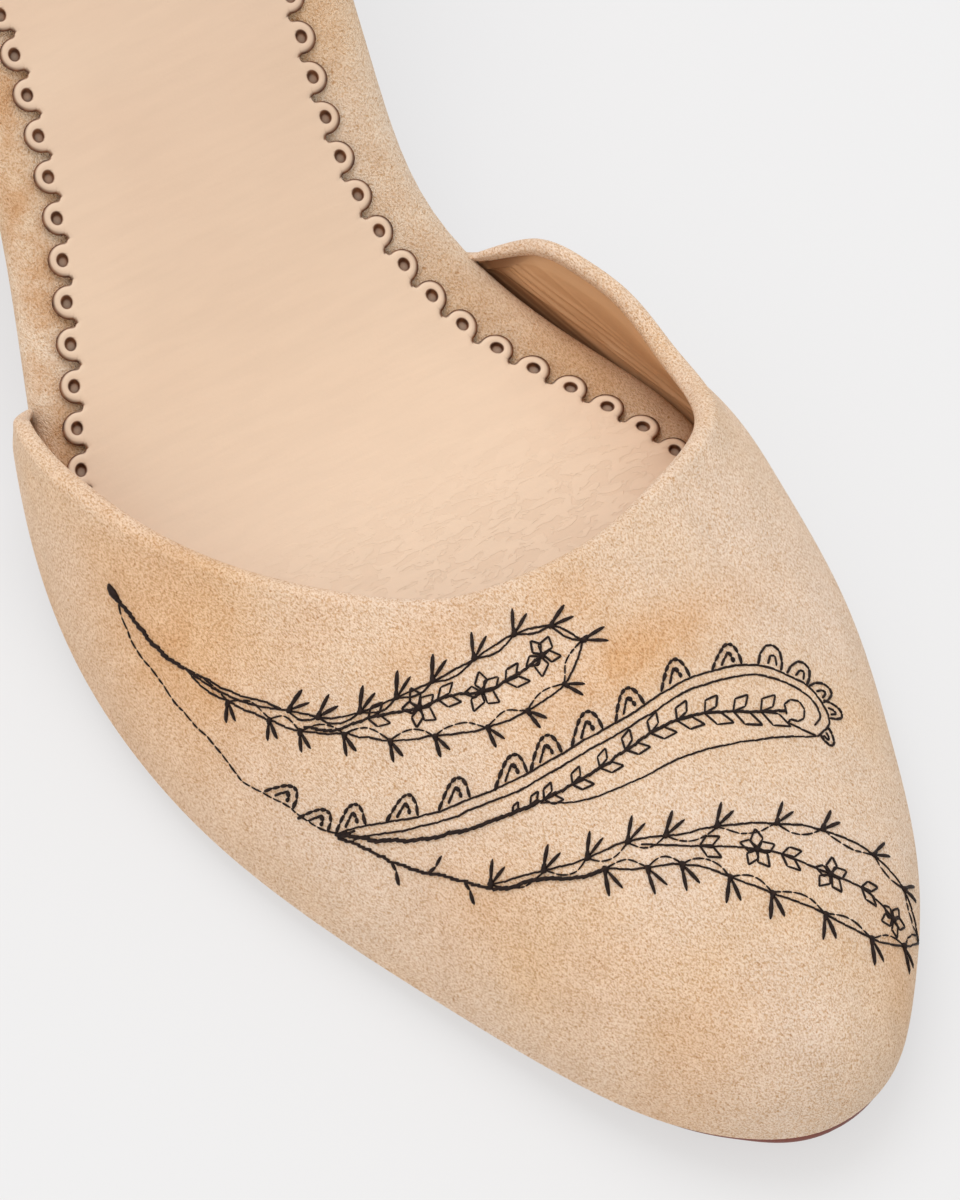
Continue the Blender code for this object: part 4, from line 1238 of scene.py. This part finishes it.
def middle_spray(thread):
    """The middle spray: a running line from the upper one's tip, a row of arches, a thick stem and a leafy vine."""
    running = stem((-38.4, 15.0), (-38.9, 11.0), (-38.5, 6.5), (-38.0, 1.0), (-37.0, -4.0), (-36.0, -10.0),
                   (-35.0, -12.5), (-33.5, -16.0), (-32.0, -20.0), (-31.0, -21.5))
    base = stem((-31.0, -21.5), (-27.0, -24.5), (-23.0, -27.5), (-19.0, -29.5), (-13.5, -31.5), (-8.5, -32.0),
                (-4.0, -32.0), (2.5, -31.5), (8.5, -30.5), (12.5, -30.5), (17.5, -31.0), (21.0, -33.0),
                (23.0, -36.0), (22.5, -39.0), (20.0, -40.5))
    stalk = stem((-31.0, -21.5), (-27.0, -26.5), (-23.0, -30.0), (-17.0, -33.5), (-12.5, -35.0))
    middle = stem((-12.5, -35.0), (-8.5, -35.5), (-5.0, -35.5), (2.5, -34.5), (10.0, -35.0), (15.5, -36.5),
                  (18.0, -37.0))
    hem = stem((-12.5, -35.0), (-10.5, -36.5), (-4.0, -38.5), (3.5, -38.5), (10.0, -39.0), (20.0, -40.5))
    tie = stem((17.6, -38.4), (18.8, -39.6), (20.0, -40.5))
    strokes = [(THIN, running[0]), (FINE, base[0]), (THICK, stalk[0]), (MEDIUM, middle[0]), (0.25, hem[0]),
               (FINE, tie[0]), (FINE, parallel(base, 2.0, base[3][-1] - 0.8, -1.2))]
    for place in ((-34.0, -15.0), (-32.0, -19.5)):
        strokes += motif(running, nearest_on(running, place), ARCH)
    for place in ((-28.0, -21.5), (-23.0, -24.5), (-18.5, -27.5), (-13.0, -29.5), (-9.0, -30.0), (-4.0, -30.0),
                  (1.5, -30.0), (8.0, -28.5), (15.0, -28.0)):
        strokes += motif(base, nearest_on(base, place), ARCH)
    for place, size in (((21.0, -29.5), 1.10), ((24.2, -31.8), 1.00), ((25.6, -35.2), 0.90), ((24.5, -38.2), 0.80),
                        ((21.6, -41.5), 0.65)):
        strokes += motif(base, nearest_on(base, place), TIP_ARCH, size=size)
    places = np.linspace(0.5, middle[3][-1] - 3.4, 9)
    for at, above, under in zip(places, np.linspace(0.80, 1.25, 9), np.linspace(0.85, 1.50, 9)):
        strokes += motif(middle, at, OPEN_LEAF, 1.0, above, 14.0) + motif(middle, at, OPEN_LEAF, -1.0, under)
    for back, size in ((3.4, 0.55), (1.2, 0.70)):
        strokes += motif(stalk, stalk[3][-1] - back, OPEN_LEAF, 1.0, size, 14.0)
    strokes += motif(middle, middle[3][-1], BUD)
    strokes += [(MEDIUM, parallel(base, 0.0, 2.6, -0.35))]
    return sewn("spray_middle", strokes, thread, 12)


def lower_spray(thread):
    """The spray nearest the toe tip: a thin stem with single leaves that opens as the upper one does."""
    stalk = stem((-31.0, -22.0), (-29.0, -25.5), (-26.5, -30.0), (-24.0, -33.5), (-20.5, -38.5))
    neck = stem((-20.5, -38.5), (-18.5, -40.0), (-16.0, -41.5), (-12.0, -44.5), (-10.0, -45.0))
    upper = ((-20.5, -38.0), (-15.5, -41.0), (-11.0, -43.0), (-6.5, -44.0), (-2.5, -45.5), (3.0, -47.0),
             (9.5, -49.0), (14.5, -51.0), (19.0, -54.5), (21.0, -58.0), (20.5, -62.5))
    lower = ((-10.0, -45.0), (-6.0, -47.5), (-2.5, -49.0), (1.5, -52.5), (5.0, -56.0), (9.5, -60.0),
             (13.5, -63.5), (17.5, -64.0), (20.5, -62.5))
    middle = ((-5.5, -45.0), (1.0, -48.5), (6.0, -51.0), (9.0, -53.0), (12.5, -56.0), (16.0, -58.5), (17.5, -61.5))
    strokes = [(MEDIUM, stalk[0]), (THICK, neck[0])]
    for place, side in (((-27.5, -28.0), -1.0), ((-25.0, -32.0), 1.0), ((-22.5, -35.5), -1.0)):
        strokes += motif(stalk, nearest_on(stalk, place), SINGLE_LEAF, side)
    strokes += border(upper, upper[:-1], 1.0, 1.1, 1.0, THIN)
    strokes += border(lower, lower[:-1], -1.0, 1.05, 1.00, THIN, 14.0)
    strokes += vine(middle, 1, FINE)
    return sewn("spray_lower", strokes, thread, 13)


# ---------------------------------------------------------------- stage

def studio():
    """White paper, a soft white sky, the two lights, and the camera above the toe.

    One soft light hangs overhead and a warmer one stands by the little toe.
    """
    scene = bpy.context.scene
    scene.view_settings.view_transform = "Standard"
    world = bpy.data.worlds.new("soft_sky")
    world.use_nodes = True
    sky = world.node_tree.nodes["Background"]
    sky.inputs["Color"].default_value = colour("#f4f4f4")
    sky.inputs["Strength"].default_value = 0.92
    scene.world = world

    mesh = bpy.data.meshes.new("paper")
    mesh.from_pydata([(x * PAPER_HALF, y * PAPER_HALF, -PAPER_LOW * MM)
                      for x, y in ((-1, -1), (1, -1), (1, 1), (-1, 1))], [], [(0, 1, 2, 3)])
    mesh.materials.append(studio_paper())
    floor = bpy.data.objects.new("paper", mesh)
    scene.collection.objects.link(floor)

    look = to_frame((0.0, 0.0, SOCK_TOP))
    for name, place, size, power, tint in LIGHTS:
        lamp = bpy.data.lights.new(name, "AREA")
        lamp.shape = "DISK"
        lamp.size = size
        lamp.energy = power
        lamp.color = colour(tint)[:3]
        light = bpy.data.objects.new(name, lamp)
        light.location = Vector(look) + Vector(place)
        light.rotation_euler = (-Vector(place)).to_track_quat("-Z", "Y").to_euler()
        scene.collection.objects.link(light)

    turn, lift = np.radians(CAMERA_TURN), np.radians(CAMERA_ELEVATION)
    back = np.array([-np.sin(turn) * np.cos(lift), -np.cos(turn) * np.cos(lift), np.sin(lift)])
    lens = bpy.data.cameras.new("view")
    lens.sensor_fit = "VERTICAL"
    lens.sensor_height = SENSOR
    lens.lens = CAMERA_LENS
    lens.clip_start = 0.05
    lens.clip_end = 20.0
    eye = bpy.data.objects.new("view", lens)
    eye.location = Vector(look + back * CAMERA_DISTANCE * MM)
    eye.rotation_euler = Vector(-back).to_track_quat("-Z", "Y").to_euler()
    scene.collection.objects.link(eye)
    scene.camera = eye


studio()
vamp_suede = calf_suede("calf_suede_vamp", "#ffe9d5", "#ffe6cd", "#fbdbb8", "#dfcbb1",
                        "stroked", "#f5dcbc", 0.6, 1.0)
# the board's marked tint is painted shade on its edge
board_suede = calf_suede("calf_suede_board", "#fbe7d1", "#f5dcc0", "#ebc7a0", "#e6d6c2",
                         "painted_edge_shade", "#e6c093", 0.0, 0.62)
lining = kid_lining()

vamp, vamp_lining, VAMP_FACE, VAMP_NORMAL = upper_pieces(
    "vamp", VAMP_RIBS, VAMP_TIPS, VAMP_RIM_TIPS, True, *VAMP_GRID, vamp_suede, lining)
wear(vamp, "suede", "vamp")
wear(vamp_lining, "sock_leather", "vamp")
counter, counter_lining = upper_pieces(
    "counter", COUNTER_RIBS, COUNTER_TIPS, COUNTER_RIM_TIPS, False, *COUNTER_GRID, vamp_suede, lining)[:2]
wear(counter, "suede", "counter")
wear(counter_lining, "sock_leather", "counter")
thread = embroidery_thread()
for spray in (upper_spray(thread), middle_spray(thread), lower_spray(thread)):
    wear(spray, "suede")
wear(footbed_piece(board_suede), "suede", "footbed")
wear(sock_piece(sock_leather(), cut_edge()), "sock_leather", "sock")
wear(outsole_piece(sole_leather()), "sole_leather", "outsole")
wear(heel_piece(vamp_suede), "heel_cover", "heel")
wear(top_piece(top_piece_rubber()), "top_piece_rubber", "top_piece")
